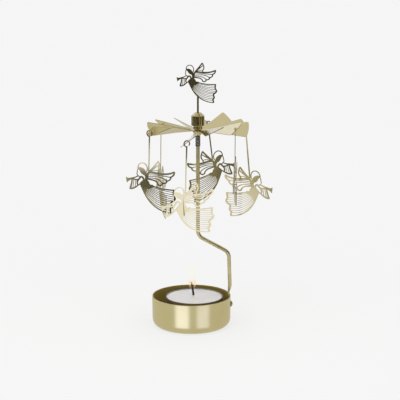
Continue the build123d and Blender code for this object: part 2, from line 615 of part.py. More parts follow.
def make_wick():
    start = FOIL + TAB_THICKNESS + WICK_CLEARANCE
    straight = TEALIGHT_HEIGHT - WAX_RECESS + WICK_DIAMETER / 2
    turn = radians(WICK_TURN)
    end = (-WICK_BEND * (1 - cos(turn)), 0, straight + WICK_BEND * sin(turn))
    middle = (-WICK_BEND * (1 - cos(turn / 2)), 0, straight + WICK_BEND * sin(turn / 2))
    tail_length = WICK_STAND - WICK_DIAMETER / 2 - WICK_BEND * sin(turn)
    tail = (end[0] - tail_length * tan(turn), 0, end[2] + tail_length)
    path = Curve() + [Line((0, 0, start), (0, 0, straight)), ThreePointArc((0, 0, straight), middle, end),
                      Line(end, tail)]
    return at_wick(sweep(Plane(origin=(0, 0, start)) * Circle(WICK_DIAMETER / 2), path=path.wire()))


def write(name, piece):
    export_step(piece, os.path.join("parts", name + ".step"))


os.makedirs("parts", exist_ok=True)
write("cup_dish", make_cup_dish())
write("stand_rod", make_stand_rod())
write("foot_rivet", make_foot_rivet())
write("needle_sleeve", make_needle_sleeve())
write("needle_pin", make_needle_pin())
write("hub_cap", make_hub_cap())
write("pivot_cup", make_pivot_cup())
write("hub_nut", make_hub_nut())
write("fan_wheel", make_fan_wheel())
write("top_rod", make_top_rod())
write("top_angel", make_top_angel())
hanger_outlines = {"long": hanger(LONG_DROP), "short": hanger(SHORT_DROP)}
for angel in range(BLADE_COUNT // 2):
    write("hanging_angel_" + str(angel + 1), make_hanging_angel(angel, hanger_outlines))
write("tealight_cup", make_tealight_cup())
write("tealight_wax", make_wax())
write("wick", make_wick())
write("wick_sustainer", make_wick_sustainer())
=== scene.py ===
"""Dresses the angel chime carousel: turned and drawn brass, cut sheet figures, a lit tealight and a plain studio."""

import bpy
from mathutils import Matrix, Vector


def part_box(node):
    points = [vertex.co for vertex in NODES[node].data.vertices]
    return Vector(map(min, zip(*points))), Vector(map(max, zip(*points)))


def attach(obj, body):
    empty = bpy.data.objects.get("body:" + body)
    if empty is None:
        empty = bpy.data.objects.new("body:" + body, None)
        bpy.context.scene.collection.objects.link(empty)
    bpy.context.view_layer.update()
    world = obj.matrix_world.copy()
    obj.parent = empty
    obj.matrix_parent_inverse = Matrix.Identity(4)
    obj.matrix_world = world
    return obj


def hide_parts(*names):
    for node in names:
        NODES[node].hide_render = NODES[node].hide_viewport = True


bl_info = {
    "name": "Angel Chime Carousel",
    "version": (1, 0, 0),
    "blender": (4, 5, 0),
    "location": "View3D > Sidebar > Carousel",
    "description": "Builds the looks of a tealight carousel with hanging angels around its packed frame",
    "category": "Add Mesh",
}

from math import asin, cos, pi, radians, sin, tan

import bmesh
import bpy
from bpy.props import FloatProperty, FloatVectorProperty, IntProperty, PointerProperty
from mathutils import Vector

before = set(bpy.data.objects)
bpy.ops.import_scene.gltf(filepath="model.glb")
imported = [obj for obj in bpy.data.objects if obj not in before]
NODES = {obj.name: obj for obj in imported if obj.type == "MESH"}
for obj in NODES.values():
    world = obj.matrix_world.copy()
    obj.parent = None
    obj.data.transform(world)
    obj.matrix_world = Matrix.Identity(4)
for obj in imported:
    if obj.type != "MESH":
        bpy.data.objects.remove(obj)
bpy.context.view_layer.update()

MM = 0.001
TINY = 0.0001 * MM  # nothing of the object is as small as this
SAME_SPOT = 0.001 * MM  # points of a CAD mesh that are closer than this are one
DISH_SEGMENTS = 192
WAX_SEGMENTS = 144
SMALL_SEGMENTS = 64
FLAME_SEGMENTS = 48
SMOOTH_ANGLE = radians(35)
SHEET_SMOOTH_ANGLE = radians(20)
EDGE_ANGLE = radians(50)
FLAT_ANGLE = radians(0.5)
BEVEL_STEPS = 2

BLACK = (0, 0, 0, 1)
# Shares of brass's own colour: a painted reflection on the dish's inner wall, for the brass that it mirrors twice,
# and the cut walls of sheet
INSIDE_REFLECTION_SHARES = (1.0, 0.93, 0.60)
CUT_WALL_SHARE = 0.80
# A face is a cut wall where the cosine of its turn from the sheet's own face is below this
CUT_WALL_COSINE = 0.4

# What the metal mirrors. A zone has the name of what it is for, its azimuth, half width and softness in
# degrees, its lowest and highest place with their softness, and its tone. The place is metres up the tent,
# metres out on the floor, and the sine of the elevation on the dome. A later zone lies over an earlier one.
TENT_RADIUS = 0.26
TENT_HEIGHT = 0.26
TENT_LEVEL = 0.66
TENT_ZONES = (
    ("top rod, top angel and rings", 270, 95, 12, 0.087, 0.30, 0.004, 0.05),
    ("left edge of the hub", 145, 24, 8, 0.070, 0.100, 0.006, 0.12),
    ("right edge of the hub", 10, 26, 8, 0.070, 0.100, 0.006, 0.10),
    ("middle of the hub", 259, 20, 4, 0.068, 0.090, 0.004, 0.06),
    ("right of the hub", 312, 30, 6, 0.070, 0.090, 0.004, 0.27),
    ("rings on the near right", 316, 9, 3, 0.074, 0.095, 0.003, 0.05),
    ("left angel", 212, 7, 2, 0.039, 0.064, 0.003, 0.05),
    ("left angel's skirt", 213, 3.5, 1.5, 0.0, 0.045, 0.004, 0.03),
    ("bright streak on the hub", 206, 24, 5, 0.064, 0.083, 0.003, 0.85),
    ("right front angel", 203.5, 4, 2, 0.0, 0.040, 0.004, 0.74),
    ("near angel", 316, 8, 4, 0.0, 0.070, 0.004, 1.00),
    ("right rear angel", 341, 7, 2, 0.0, 0.085, 0.004, 0.12),
    ("right rear angel's body", 340.4, 0.8, 0.7, 0.036, 0.058, 0.004, 0.62),
    ("near blade", 96, 9, 4, 0.085, 0.160, 0.010, 1.10),
    ("near edges of the left angels", 32, 14, 6, 0.0, 0.110, 0.006, 0.06),
    ("near edges of the right angels", 143, 10, 4, 0.0, 0.070, 0.006, 0.06),
)
FLOOR_LEVEL = 0.60
FLOOR_ZONES = (
    ("left band on the dish", 242.5, 12, 14, 0.044, 0.105, 0.014, 1.20),
    ("right band on the dish", 305, 10, 14, 0.044, 0.105, 0.014, 0.97),
)
DOME_LEVEL = 0.66
DOME_ZONES = (
    ("blades that lean back", 112, 24, 16, 0.45, 0.75, 0.08, 0.95),
    ("cone of the hub", 270, 60, 20, 0.86, 1.0, 0.06, 0.28),
)
DOME_POLE = 0.0001  # keeps a direction straight up from being divided by nothing

# The mirrored light turns from warm to cool between two tones
COOL_TONES = (0.5, 0.85)
DIM_LIGHT = (1.0, 0.97, 0.80)
BRIGHT_LIGHT = (1.0, 1.03, 1.36)

# The eye sees a share of the floor's own light and shadow near the object, between two distances in metres. The
# make-up is what that would cost in tone.
SHADOW_NEAR = 0.05
SHADOW_FAR = 0.30
SHADOW_SHARE = 0.30
SHADOW_MAKE_UP = 0.17
FLOOR_RADIUS = 6.0

# Light on wax and floor: the even light, and soft boxes with their name, azimuth, elevation, distance and power
SOFT_LIGHT = 0.74
SOFT_WHITE = (0.98, 0.98, 0.98, 1.0)
SOFT_BOX_WIDTH = 0.5
SOFT_BOX_HEIGHT = 0.7
SOFT_BOX_AIM = Vector((0, 0, 0.08))
SOFT_BOXES = (("key_left", 238, 48, 0.9, 1.9), ("fill_right", 305, 40, 1.0, 1.2))

FILM_WIDTH = 36 * MM
CLIP_START = 50 * MM  # the camera sees nothing nearer than this

# The rivet's tail stands out of the strap, with a hair of air under it. The hub's edges are broken.
RIVET_TAIL = 0.7 * MM
RIVET_GAP = 0.03 * MM
HUB_EDGE = 0.12 * MM

# Blades of the fan wheel in turning order, bent by hand: pitch and lift in degrees
BLADE_PITCHES = (38, 42, 38, 35, 36, 36, 35, 24, 38, 22, 27, 34)
BLADE_LIFTS = (0.5, 5, 0, -1.5, 0, 2, 2, 8, -3.5, 9, 9, 3)


class Span:
    """Lowest and highest corners of a CAD node, and its middle, in metres."""

    def __init__(self, node):
        self.low, self.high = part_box(node)
        self.middle = (self.low + self.high) / 2


DISH, CUP, WAX, WICK, TAB = (
    Span(node) for node in ("cup_dish", "tealight_cup", "tealight_wax", "wick", "wick_sustainer"))
ROD, RIVET, SLEEVE, CAP, NUT = (
    Span(node) for node in ("stand_rod", "foot_rivet", "needle_sleeve", "hub_cap", "hub_nut"))


def linear(red, green, blue):
    """A colour as the eye sees it on a screen, in the values that Blender's sockets take."""
    def channel(value):
        return value / 12.92 if value <= 0.04045 else ((value + 0.055) / 1.055) ** 2.4
    return (channel(red), channel(green), channel(blue), 1.0)


def length(name, description, millimetres):
    return FloatProperty(name=name, description=description, default=millimetres * MM, unit="LENGTH",
                         subtype="DISTANCE", precision=5)


def angle(name, description, degrees):
    return FloatProperty(name=name, description=description, default=radians(degrees), subtype="ANGLE")


def colour(name, description, red, green, blue):
    return FloatVectorProperty(name=name, description=description, default=linear(red, green, blue),
                               subtype="COLOR", size=4, min=0, max=1)


class DishSizes(bpy.types.PropertyGroup):
    """Sizes of the drawn dish."""
    wall: length("Wall", "Thickness of the drawn sheet", 0.6)
    corner: length("Corner radius", "Outer radius between the base and the wall", 5.4)
    draft: angle("Draft", "Outward slope of the wall", 1.0)
    rim: length("Rim round", "Rounding of the rim's edges", 0.24)


class RodSizes(bpy.types.PropertyGroup):
    """Sizes of the bent stand rod."""
    foot_x: length("Foot place", "Distance of the wire's foot from the dish's axis", 26.0)
    lean: length("Lean", "How far the lower run leans in on its way up", 0.8)
    lower_bend: length("Lower bend", "Height of the lower bend's corner", 50.7)
    upper_bend: length("Upper bend", "Height of the upper bend's corner", 62.1)
    bend_radius: length("Bend radius", "Radius of both bends", 6.0)
    diameter: length("Diameter", "Diameter of the wire", 2.5)
    strap_thickness: length("Strap thickness", "Thickness of the flattened foot", 1.1)
    strap_top: length("Strap top", "Height at which the flattened foot has its full width", 22.8)
    round_start: length("Round start", "Height at which the wire is round again", 27.4)


class WheelSizes(bpy.types.PropertyGroup):
    """Sizes of the fan wheel, as it is cut from the sheet."""
    sheet: length("Sheet", "Thickness of the brass sheet", 0.4)
    diameter: length("Diameter", "Diameter of the flat wheel before its blades are twisted", 68.0)
    hub_diameter: length("Hub diameter", "Width across the flats of the wheel's middle", 9.6)
    neck_width: length("Neck width", "Width of the strip that carries a blade", 2.0)
    neck_length: length("Neck length", "Length of the twisted strip", 2.2)
    blade_corner: length("Blade corner", "Rounding of a blade's two tips", 1.6)
    hole_diameter: length("Hole diameter", "Hole that takes an angel's ring", 2.2)
    hole_margin: length("Hole margin", "Distance of the hole's middle from the blade's tip", 1.6)
    bore: length("Bore", "Hole in the middle, around the hub cap's tenon", 4.44)
    height: length("Height", "Height of the sheet's middle over the table", 134.2)
    first_blade: angle("First blade", "Direction of the first blade", 19.7)
    blade_spread: angle("Blade spread", "Angle that a blade takes up", 25.0)
    blade_count: IntProperty(name="Blades", description="Number of blades", default=12, min=12, max=12)
    edge: length("Edge", "Width of the broken edge on cut sheet", 0.05)


class TealightSizes(bpy.types.PropertyGroup):
    """Sizes of the tealight and its flame."""
    foil: length("Foil", "Thickness of the cup's wall", 0.35)
    corner: length("Corner radius", "Outer radius at the cup's base", 1.6)
    flute_depth: length("Flute depth", "Depth of the pressed flutes in the cup's side", 0.12)
    flutes: IntProperty(name="Flutes", description="Number of flutes round the cup", default=48, min=8, max=96)
    pool: length("Pool", "Radius of the molten pool round the wick", 9.0)
    pool_depth: length("Pool depth", "Depth of the molten pool", 0.25)
    flame_height: length("Flame height", "Height of the flame over the wax", 19.6)
    flame_width: length("Flame width", "Width of the flame", 5.0)


class CarouselFinish(bpy.types.PropertyGroup):
    """Colours of the metals, the wax, the wick and the flame."""
    brass: colour("Brass", "Colour of bright brass", 0.91, 0.86, 0.65)
    dark_brass: colour("Dark brass", "Colour of brass that has gone darker", 0.62, 0.55, 0.33)
    steel: colour("Steel", "Colour of the sleeve and the needle", 0.66, 0.65, 0.62)
    foil: colour("Foil", "Colour of the tealight's cup", 0.74, 0.74, 0.73)
    wax: colour("Wax", "Colour of the wax", 0.90, 0.89, 0.875)
    char: colour("Char", "Colour of the burnt wick", 0.05, 0.04, 0.035)
    flame: colour("Flame", "Colour of the flame", 0.96, 0.98, 0.84)
    glow: colour("Glow", "Colour of the flame round the end of the wick", 1.0, 0.88, 0.70)
    scorched: colour("Scorched wick", "Colour of the wick near its tip", 0.52, 0.28, 0.13)
    ember: colour("Ember", "Glow at the very end of the wick", 0.95, 0.35, 0.08)
    # Painted light: the flame's glow and reflection in the wax round the wick, put into the wax's colour
    painted_flame_light: colour("Painted flame light", "Colour of the wax that the flame lights round the wick", 0.95, 0.84, 0.68)


class StudioSettings(bpy.types.PropertyGroup):
    """Camera and background."""
    lens: FloatProperty(name="Lens", description="Focal length of the camera", default=0.144, unit="CAMERA",
                        subtype="DISTANCE_CAMERA")
    distance: length("Distance", "Distance of the camera from its target", 1070.0)
    pitch: angle("Pitch", "How far the camera looks down", 12.5)
    target_x: length("Target side", "How far right of the dish's axis the camera looks", 5.8)
    target_z: length("Target height", "Height that the camera looks at", 86.7)
    roll: angle("Roll", "Turn of the camera about its own axis", 0.0)
    background: colour("Background", "Colour behind the object", 0.962, 0.962, 0.962)
    floor: colour("Floor", "Colour of the floor by the object", 0.93, 0.93, 0.925)


class Signal:
    """A socket with a number on it. Python's operators on it add Math nodes."""

    def __init__(self, finish, socket):
        self.finish = finish
        self.socket = socket

    def maths(self, operation, *values):
        return self.finish.maths(operation, *values)

    def __add__(self, other):
        return self.maths("ADD", self, other)

    __radd__ = __add__

    def __mul__(self, other):
        return self.maths("MULTIPLY", self, other)

    __rmul__ = __mul__

    def __sub__(self, other):
        return self.maths("SUBTRACT", self, other)

    def __rsub__(self, other):
        return self.maths("SUBTRACT", other, self)

    def __truediv__(self, other):
        return self.maths("DIVIDE", self, other)

    def __pow__(self, other):
        return self.maths("POWER", self, other)

    def clamped(self):
        return self.maths("MAXIMUM", self.maths("MINIMUM", self, 1.0), 0.0)

    def between(self, low, high):
        """0 below low, 1 above high and smooth in between."""
        return self.finish.signal(self.finish.node(
            "ShaderNodeMapRange", {"interpolation_type": "SMOOTHSTEP"},
            {"Value": self, "From Min": low, "From Max": high}))


def add_node(tree, kind, settings=None, values=None):
    """Adds a node of a kind to a tree, with its settings first and then the values or links of its sockets."""
    node = tree.nodes.new(kind)
    for key, value in (settings or {}).items():
        setattr(node, key, value)
    for key, value in (values or {}).items():
        if isinstance(value, Signal):
            value = value.socket
        if isinstance(value, bpy.types.NodeSocket):
            tree.links.new(value, node.inputs[key])
        else:
            node.inputs[key].default_value = value
    return node


def shaded(colour, red, green=None, blue=None):
    """A colour taken down to a share of itself, or to a share each of its red, green and blue."""
    shares = (red, red if green is None else green, red if blue is None else blue)
    return tuple(channel * share for channel, share in zip(colour, shares)) + (1.0,)


class Finish:
    """A material or a world under construction, with the colours that the user chose."""

    def __init__(self, name, owner=None):
        self.colours = bpy.context.scene.carousel_finish
        self.owner = owner or bpy.data.materials.new(name)
        self.owner.use_nodes = True
        self.tree = self.owner.node_tree
        self.tree.nodes.clear()
        self.place = self.node("ShaderNodeTexCoord").outputs["Generated" if owner else "Object"]

    def node(self, kind, settings=None, values=None):
        return add_node(self.tree, kind, settings, values)

    def signal(self, node, output=0):
        return Signal(self, node.outputs[output])

    def maths(self, operation, *values):
        return self.signal(self.node("ShaderNodeMath", {"operation": operation}, dict(enumerate(values))))

    def axes(self):
        """The three numbers of a place on the object."""
        node = self.node("ShaderNodeSeparateXYZ", None, {0: self.place})
        return [self.signal(node, output) for output in range(3)]

    def noise(self, scale, detail, roughness):
        """An even pattern of patches, so many to the metre."""
        return self.signal(self.node(
            "ShaderNodeTexNoise", None,
            {"Vector": self.place, "Scale": scale, "Detail": detail, "Roughness": roughness}))

    def streaks(self, x, y, z, detail, roughness):
        """A pattern of lines, so many to the metre along each axis. They run where the number is smallest."""
        stretched = self.node("ShaderNodeMapping", None, {"Vector": self.place, "Scale": (x, y, z)})
        return self.signal(self.node(
            "ShaderNodeTexNoise", None,
            {"Vector": stretched.outputs[0], "Scale": 1, "Detail": detail, "Roughness": roughness}))

    def light(self, tone):
        """The colour of light of a given tone, a little warm where it is dim and cool where it is bright."""
        cool = tone.between(*COOL_TONES)
        warmth = [dim + (bright - dim) * cool for dim, bright in zip(DIM_LIGHT, BRIGHT_LIGHT)]
        return self.node("ShaderNodeCombineXYZ", None,
                         {channel: tone * share for channel, share in enumerate(warmth)}).outputs[0]

    def colour_mix(self, factor, first, second):
        node = self.node("ShaderNodeMix", {"data_type": "RGBA"}, {0: factor, 6: first, 7: second})
        return node.outputs[2]

    def tarnished(self, share):
        """Bright brass that has gone darker by a share."""
        return self.colour_mix(share, self.colours.brass, self.colours.dark_brass)

    def glow(self, colour, strength=1.0):
        return self.node("ShaderNodeEmission", None, {"Color": colour, "Strength": strength}).outputs[0]

    def shader_mix(self, factor, first, second):
        return self.node("ShaderNodeMixShader", None, {0: factor, 1: first, 2: second}).outputs[0]

    def bump(self, height, distance, strength=1.0, under=None):
        values = {"Height": height, "Distance": distance, "Strength": strength}
        if under is not None:
            values["Normal"] = under
        return self.node("ShaderNodeBump", None, values).outputs[0]

    def surface(self, **sockets):
        """Closes the material with a Principled surface."""
        values = {key.replace("_", " ").title().replace("Ior", "IOR"): value for key, value in sockets.items()}
        return self.closed(self.node("ShaderNodeBsdfPrincipled", None, values).outputs[0])

    def closed(self, shader, kind="ShaderNodeOutputMaterial"):
        """Ends the material or the world with a shader."""
        self.node(kind, None, {"Surface": shader})
        return self.owner


def cut_sheet_brass(name, ripple, rough=0.10):
    """Polished sheet: flat, a little wavy from handling, with faint stains, fine scratches and duller cut walls."""
    finish = Finish(name)
    stain = finish.noise(scale=70, detail=4, roughness=0.6)
    scratch = finish.streaks(x=900, y=900, z=140, detail=4, roughness=0.7)
    wall = finish.signal(finish.node("ShaderNodeAttribute", {"attribute_name": "wall"}), "Fac")
    face = finish.tarnished(stain.between(0.45, 0.8) * 0.15)
    wave = finish.noise(scale=28, detail=1, roughness=0.3)
    return finish.surface(
        base_color=finish.colour_mix(wall, face, shaded(finish.colours.brass, CUT_WALL_SHARE)), metallic=1.0,
        roughness=rough + stain * 0.05 + scratch * 0.03 + wall * 0.2,
        normal=finish.bump(scratch, distance=0.002 * MM, strength=0.4, under=finish.bump(wave, distance=ripple)))


def satin_dish_brass(sizes):
    """Drawn and lightly brushed brass, with hair lines round the wall, duller inside, and with the warmer colour of
    brass mirrored in brass painted on the inside.
    """
    finish = Finish("dish_satin_brass")
    x, y, z = finish.axes()
    seam = 0.1 * MM
    wall_middle = DISH.high.x - sizes.wall / 2 - (DISH.high.z - z) * tan(sizes.draft)
    inside = ((wall_middle - (x ** 2 + y ** 2) ** 0.5).between(-seam, seam)
              * z.between(sizes.corner, sizes.corner + seam))
    lines = finish.streaks(x=60, y=60, z=5200, detail=5, roughness=0.65)
    stain = finish.noise(scale=38, detail=3, roughness=0.5)
    outside = finish.tarnished(stain.between(0.45, 0.8) * 0.14)
    return finish.surface(
        # Inside, a painted reflection: the warmer colour of the brass mirrored in itself goes into the base colour
        base_color=finish.colour_mix(inside, outside, shaded(finish.colours.brass, *INSIDE_REFLECTION_SHARES)), metallic=1.0,
        roughness=0.18 + stain * 0.03 + lines * 0.05 + inside * 0.50,
        normal=finish.bump(lines, distance=0.003 * MM, strength=0.4))


def drawn_wire_brass(name, dull, rough=0.24):
    """Drawn wire: lines along its length and duller patches from handling."""
    finish = Finish(name)
    lines = finish.streaks(x=3600, y=3600, z=160, detail=4, roughness=0.6)
    stain = finish.noise(scale=120, detail=4, roughness=0.6)
    return finish.surface(
        base_color=finish.tarnished(stain.between(0.35, 0.75) * 0.5 + dull), metallic=1.0,
        roughness=rough + stain * 0.14 + lines * 0.05, normal=finish.bump(lines, distance=0.008 * MM, strength=0.5))


def turned_brass():
    """Turned and polished brass with the faint rings of the tool."""
    finish = Finish("hub_turned_brass")
    rings = finish.streaks(x=30, y=30, z=6500, detail=3, roughness=0.6)
    stain = finish.noise(scale=260, detail=4, roughness=0.6)
    return finish.surface(
        base_color=finish.tarnished(stain.between(0.4, 0.8) * 0.3 + 0.25), metallic=1.0,
        roughness=0.10 + stain * 0.05 + rings * 0.03, normal=finish.bump(rings, distance=0.002 * MM, strength=0.4))


def mottled_steel(name, coarse):
    """Ground steel with dark blotches, so many to the metre, and a finer grain."""
    finish = Finish(name)
    blotch = finish.noise(scale=coarse, detail=4, roughness=0.7)
    grain = finish.noise(scale=coarse * 6, detail=2, roughness=0.6)
    steel = finish.colours.steel
    return finish.surface(
        base_color=finish.colour_mix(blotch.between(0.42, 0.62), steel, shaded(steel, 0.30)), metallic=1.0,
        roughness=0.28 + grain * 0.25, normal=finish.bump(blotch + grain * 0.3, distance=0.04 * MM, strength=0.6))


def pressed_foil():
    """Bare aluminium, rolled and pressed."""
    finish = Finish("tealight_foil")
    rolled = finish.streaks(x=90, y=1800, z=90, detail=4, roughness=0.6)
    dent = finish.noise(scale=160, detail=2, roughness=0.5)
    foil = finish.colours.foil
    return finish.surface(
        base_color=finish.colour_mix(rolled.between(0.35, 0.7) * 0.5, foil, shaded(foil, 0.6)), metallic=1.0,
        roughness=0.26 + rolled * 0.18, normal=finish.bump(dent, distance=0.06 * MM, strength=0.4))


def poured_wax(wick_place, pool_radius):
    """White wax, softly see-through, with a wet pool round the wick and a warm spot of the flame's light painted into
    its colour.
    """
    finish = Finish("poured_wax")
    x, y, z = finish.axes()
    away = ((x - wick_place.x) ** 2 + (y - wick_place.y) ** 2) ** 0.5
    dry = away.between(pool_radius * 0.75, pool_radius * 1.1)
    cloud = finish.noise(scale=120, detail=3, roughness=0.5)
    grain = finish.noise(scale=1400, detail=3, roughness=0.6)
    wax = finish.colours.wax
    dull = finish.colour_mix(cloud.between(0.35, 0.75) * 0.45, wax, shaded(wax, 0.90))
    return finish.surface(
        # Round the wick, the flame's light and reflection are painted into the wax's colour
        base_color=finish.colour_mix((1 - away.between(0.9 * MM, 2.4 * MM)) * 0.45, dull, finish.colours.painted_flame_light),
        roughness=0.30 + dry * 0.22 + grain * 0.06,
        subsurface_weight=0.25, subsurface_radius=(1.0, 0.9, 0.8), subsurface_scale=2.0 * MM,
        normal=finish.bump(cloud * 0.8 + grain * 0.06, distance=0.12 * MM, strength=0.5))


def burnt_cotton():
    """Charred braid, brown towards its tip, with an ember at the very end."""
    finish = Finish("burnt_wick")
    x, y, z = finish.axes()
    ash = finish.noise(scale=1500, detail=4, roughness=0.7)
    above_tip = z - WICK.high.z
    ember_start, brown_start = -1.2 * MM, -4.2 * MM
    char = finish.colours.char
    black = finish.colour_mix(ash.between(0.45, 0.75) * 0.4, char, shaded(char, 4))
    return finish.surface(
        base_color=finish.colour_mix(above_tip.between(brown_start, ember_start), black, finish.colours.scorched),
        roughness=0.75 + ash * 0.2, emission_strength=0.25,
        emission_color=finish.colour_mix(above_tip.between(ember_start, 0), BLACK, finish.colours.ember),
        normal=finish.bump(ash, distance=0.2 * MM, strength=0.8))


def candle_flame(bottom, top):
    """Thin pale flame with a clear middle, a pale yellow edge and tip, and a warm glow where the wick ends."""
    finish = Finish("candle_flame")
    x, y, z = finish.axes()
    rise = (z - bottom) / (top - bottom)
    facing = finish.signal(finish.node("ShaderNodeLayerWeight", None, {"Blend": 0.5}), "Facing")
    edge = facing.between(0.06, 0.36) * (1 - facing.between(0.60, 0.98))
    tip = rise.between(0.80, 0.93)
    glow = rise.between(0.12, 0.38) * (1 - rise.between(0.44, 0.53))
    foot = rise.between(0.14, 0.40)
    body = rise.between(0.34, 0.42)
    clear = edge * foot * 0.42 + (1 - edge) * tip * 0.30 + body * glow * 0.35
    return finish.surface(
        base_color=BLACK, roughness=1.0, specular_ior_level=0.0, alpha=clear.clamped(),
        emission_color=finish.colour_mix(glow, finish.colours.flame, finish.colours.glow), emission_strength=1.0)


def zoned(east, north, place, level, zones):
    """The tone in a direction (east, north) at a place: a level with softly edged zones on it."""
    tone = level
    for _, azimuth, half, soft, low, high, blend, inside in zones:
        a = radians(azimuth)
        towards = (east * cos(a) + north * sin(a)).between(cos(radians(half + soft)), cos(radians(half)))
        share = towards * place.between(low - blend, low) * (1 - place.between(high, high + blend))
        tone = share * inside + (1 - share) * tone
    return tone


def link(name, mesh, material=None):
    """A new object in the scene that carries a mesh."""
    piece = bpy.data.objects.new(name, mesh)
    bpy.context.scene.collection.objects.link(piece)
    if material:
        mesh.materials.clear()
        mesh.materials.append(material)
    return piece


def smooth(mesh, limit):
    """Shades a mesh smooth, but for edges sharper than a limit."""
    mesh.shade_smooth()
    mesh.set_sharp_from_angle(angle=limit)


def poured(name, bm):
    """Turns a bmesh into a mesh."""
    mesh = bpy.data.meshes.new(name)
    bm.to_mesh(mesh)
    bm.free()
    return mesh


def closed_piece(name, bm, material, limit=SMOOTH_ANGLE):
    """A smooth object from a bmesh, with its faces outward."""
    bmesh.ops.recalc_face_normals(bm, faces=bm.faces)
    mesh = poured(name, bm)
    smooth(mesh, limit)
    return link(name, mesh, material)


def dress(node, material):
    """Gives a CAD node that stays as it is its finish."""
    mesh = NODES[node].data
    mesh.materials.clear()
    mesh.materials.append(material)


def hand_over(piece, body, slot, *nodes):
    """Puts a finished piece on its body, in place of the CAD nodes that it dresses. The slot is not used."""
    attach(piece, body)
    if nodes:
        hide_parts(*nodes)


def applied(piece):
    """Turns a piece's modifiers into a plain mesh."""
    bpy.context.view_layer.update()
    depsgraph = bpy.context.evaluated_depsgraph_get()
    mesh = bpy.data.meshes.new_from_object(piece.evaluated_get(depsgraph))
    old = piece.data
    piece.modifiers.clear()
    piece.data = mesh
    mesh.name = piece.name
    if old.users == 0:
        bpy.data.meshes.remove(old)
    return piece


def break_edges(piece, width):
    """Breaks a sheet's edges, as tumbling does."""
    bevel = piece.modifiers.new("broken_edge", "BEVEL")
    bevel.width = width
    bevel.segments = BEVEL_STEPS
    bevel.limit_method = "ANGLE"
    bevel.angle_limit = EDGE_ANGLE
    return applied(piece)


def ease(part):
    """Goes from 0 to 1 with part, slowly at both ends."""
    return part * part * (3 - 2 * part)


def rounded(corners, steps=6, margin=0.12):
    """A flat outline with its corners rounded. A corner is (across, up) or (across, up, radius). Beside each arc, at
    margin of its reach, stands one more point that keeps the shading of the flat side even."""
    count = len(corners)
    side_share = 0.48  # a corner takes at most this share of the sides that meet in it
    outline = []
    for i, corner in enumerate(corners):
        here = Vector(corner[:2])
        radius = corner[2] if len(corner) > 2 else 0
        before = Vector(corners[i - 1][:2]) - here
        after = Vector(corners[(i + 1) % count][:2]) - here
        if radius <= 0 or before.length == 0 or after.length == 0:
            outline.append(here)
            continue
        a, b = before.normalized(), after.normalized()
        half = a.angle(b) / 2
        reach = min(radius / tan(half), before.length * side_share, after.length * side_share)
        radius = reach * tan(half)
        centre = here + (a + b).normalized() * (radius / sin(half))
        start, end = here + a * reach, here + b * reach
        swing = (end - centre).angle_signed(start - centre)
        outline.append(start + a * reach * margin)
        arm = start - centre
        outline.extend(centre + Vector(turned(arm, swing * step / steps)) for step in range(steps + 1))
        outline.append(end + b * reach * margin)
    return outline


def turned(point, turn):
    """A flat point turned about the origin."""
    return (point[0] * cos(turn) - point[1] * sin(turn), point[0] * sin(turn) + point[1] * cos(turn))


def lathe(name, outline, centre, material, segments, axis="Z", shape=None):
    """Turns a closed outline of (radius, height) points about an axis through a centre. A shape changes the radius
    by the height and the turn."""
    bm = bmesh.new()
    rows = []
    for radius, height in outline:
        row = []
        for step in range(segments if radius > TINY else 1):
            turn = 2 * pi * step / segments
            reach = shape(radius, height, turn) if shape else radius
            spot = Vector((reach * cos(turn), reach * sin(turn), height))
            row.append(bm.verts.new(Vector(centre) + (spot.zxy if axis == "X" else spot)))
        rows.append(row)
    for i, row in enumerate(rows):
        following = rows[(i + 1) % len(rows)]
        if len(row) == 1 and len(following) == 1:
            continue
        for step in range(segments):
            a, b = row[step % len(row)], row[(step + 1) % len(row)]
            c, d = following[(step + 1) % len(following)], following[step % len(following)]
            bm.faces.new(list(dict.fromkeys((a, b, c, d))))
    return closed_piece(name, bm, material)


def skin(bm, rows):
    """Joins rows of as many points into a bar with closed ends."""
    around = len(rows[0])
    for row, following in zip(rows, rows[1:]):
        for step in range(around):
            after = (step + 1) % around
            bm.faces.new((row[step], row[after], following[after], following[step]))
    bm.faces.new(list(reversed(rows[0])))
    bm.faces.new(rows[-1])


def tube(name, stations, material, around=48):
    """A swept bar. A station is its centre, its two half axes and how square its section is, 2 for an ellipse."""
    bm = bmesh.new()
    rows = []
    for centre, wide, deep, square in stations:
        row = []
        for step in range(around):
            turn = 2 * pi * step / around
            c, s = cos(turn), sin(turn)
            across = abs(c) ** (2 / square) * (1 if c >= 0 else -1)
            through = abs(s) ** (2 / square) * (1 if s >= 0 else -1)
            row.append(bm.verts.new(centre + wide * across + deep * through))
        rows.append(row)
    skin(bm, rows)
    return closed_piece(name, bm, material, EDGE_ANGLE)


def cut_copy(node, name, edge, material):
    """A copy of a CAD piece with its edges broken and its cut walls marked."""
    bm = bmesh.new()
    bm.from_mesh(NODES[node].data)
    bmesh.ops.remove_doubles(bm, verts=bm.verts, dist=SAME_SPOT)
    bmesh.ops.dissolve_limit(bm, angle_limit=FLAT_ANGLE, verts=bm.verts, edges=bm.edges)
    mesh = poured(name, bm)
    mesh.shade_flat()
    piece = break_edges(link(name, mesh, material), edge)
    mark_walls(piece.data)
    return piece


def mark_walls(mesh):
    """Stores on each face of a flat sheet whether it is a cut wall."""
    face = max(mesh.polygons, key=lambda polygon: polygon.area).normal.copy()
    wall = mesh.attributes.new("wall", "FLOAT", "FACE")
    for polygon in mesh.polygons:
        wall.data[polygon.index].value = 1.0 if abs(polygon.normal.dot(face)) < CUT_WALL_COSINE else 0.0


def node_group(name, sockets):
    """An empty geometry tree with named inputs, and its input and output nodes."""
    tree = bpy.data.node_groups.new(name, "GeometryNodeTree")
    tree.interface.new_socket("Geometry", in_out="INPUT", socket_type="NodeSocketGeometry")
    for label, kind in sockets:
        tree.interface.new_socket(label, in_out="INPUT", socket_type=kind)
    tree.interface.new_socket("Geometry", in_out="OUTPUT", socket_type="NodeSocketGeometry")
    return tree, tree.nodes.new("NodeGroupInput"), tree.nodes.new("NodeGroupOutput")


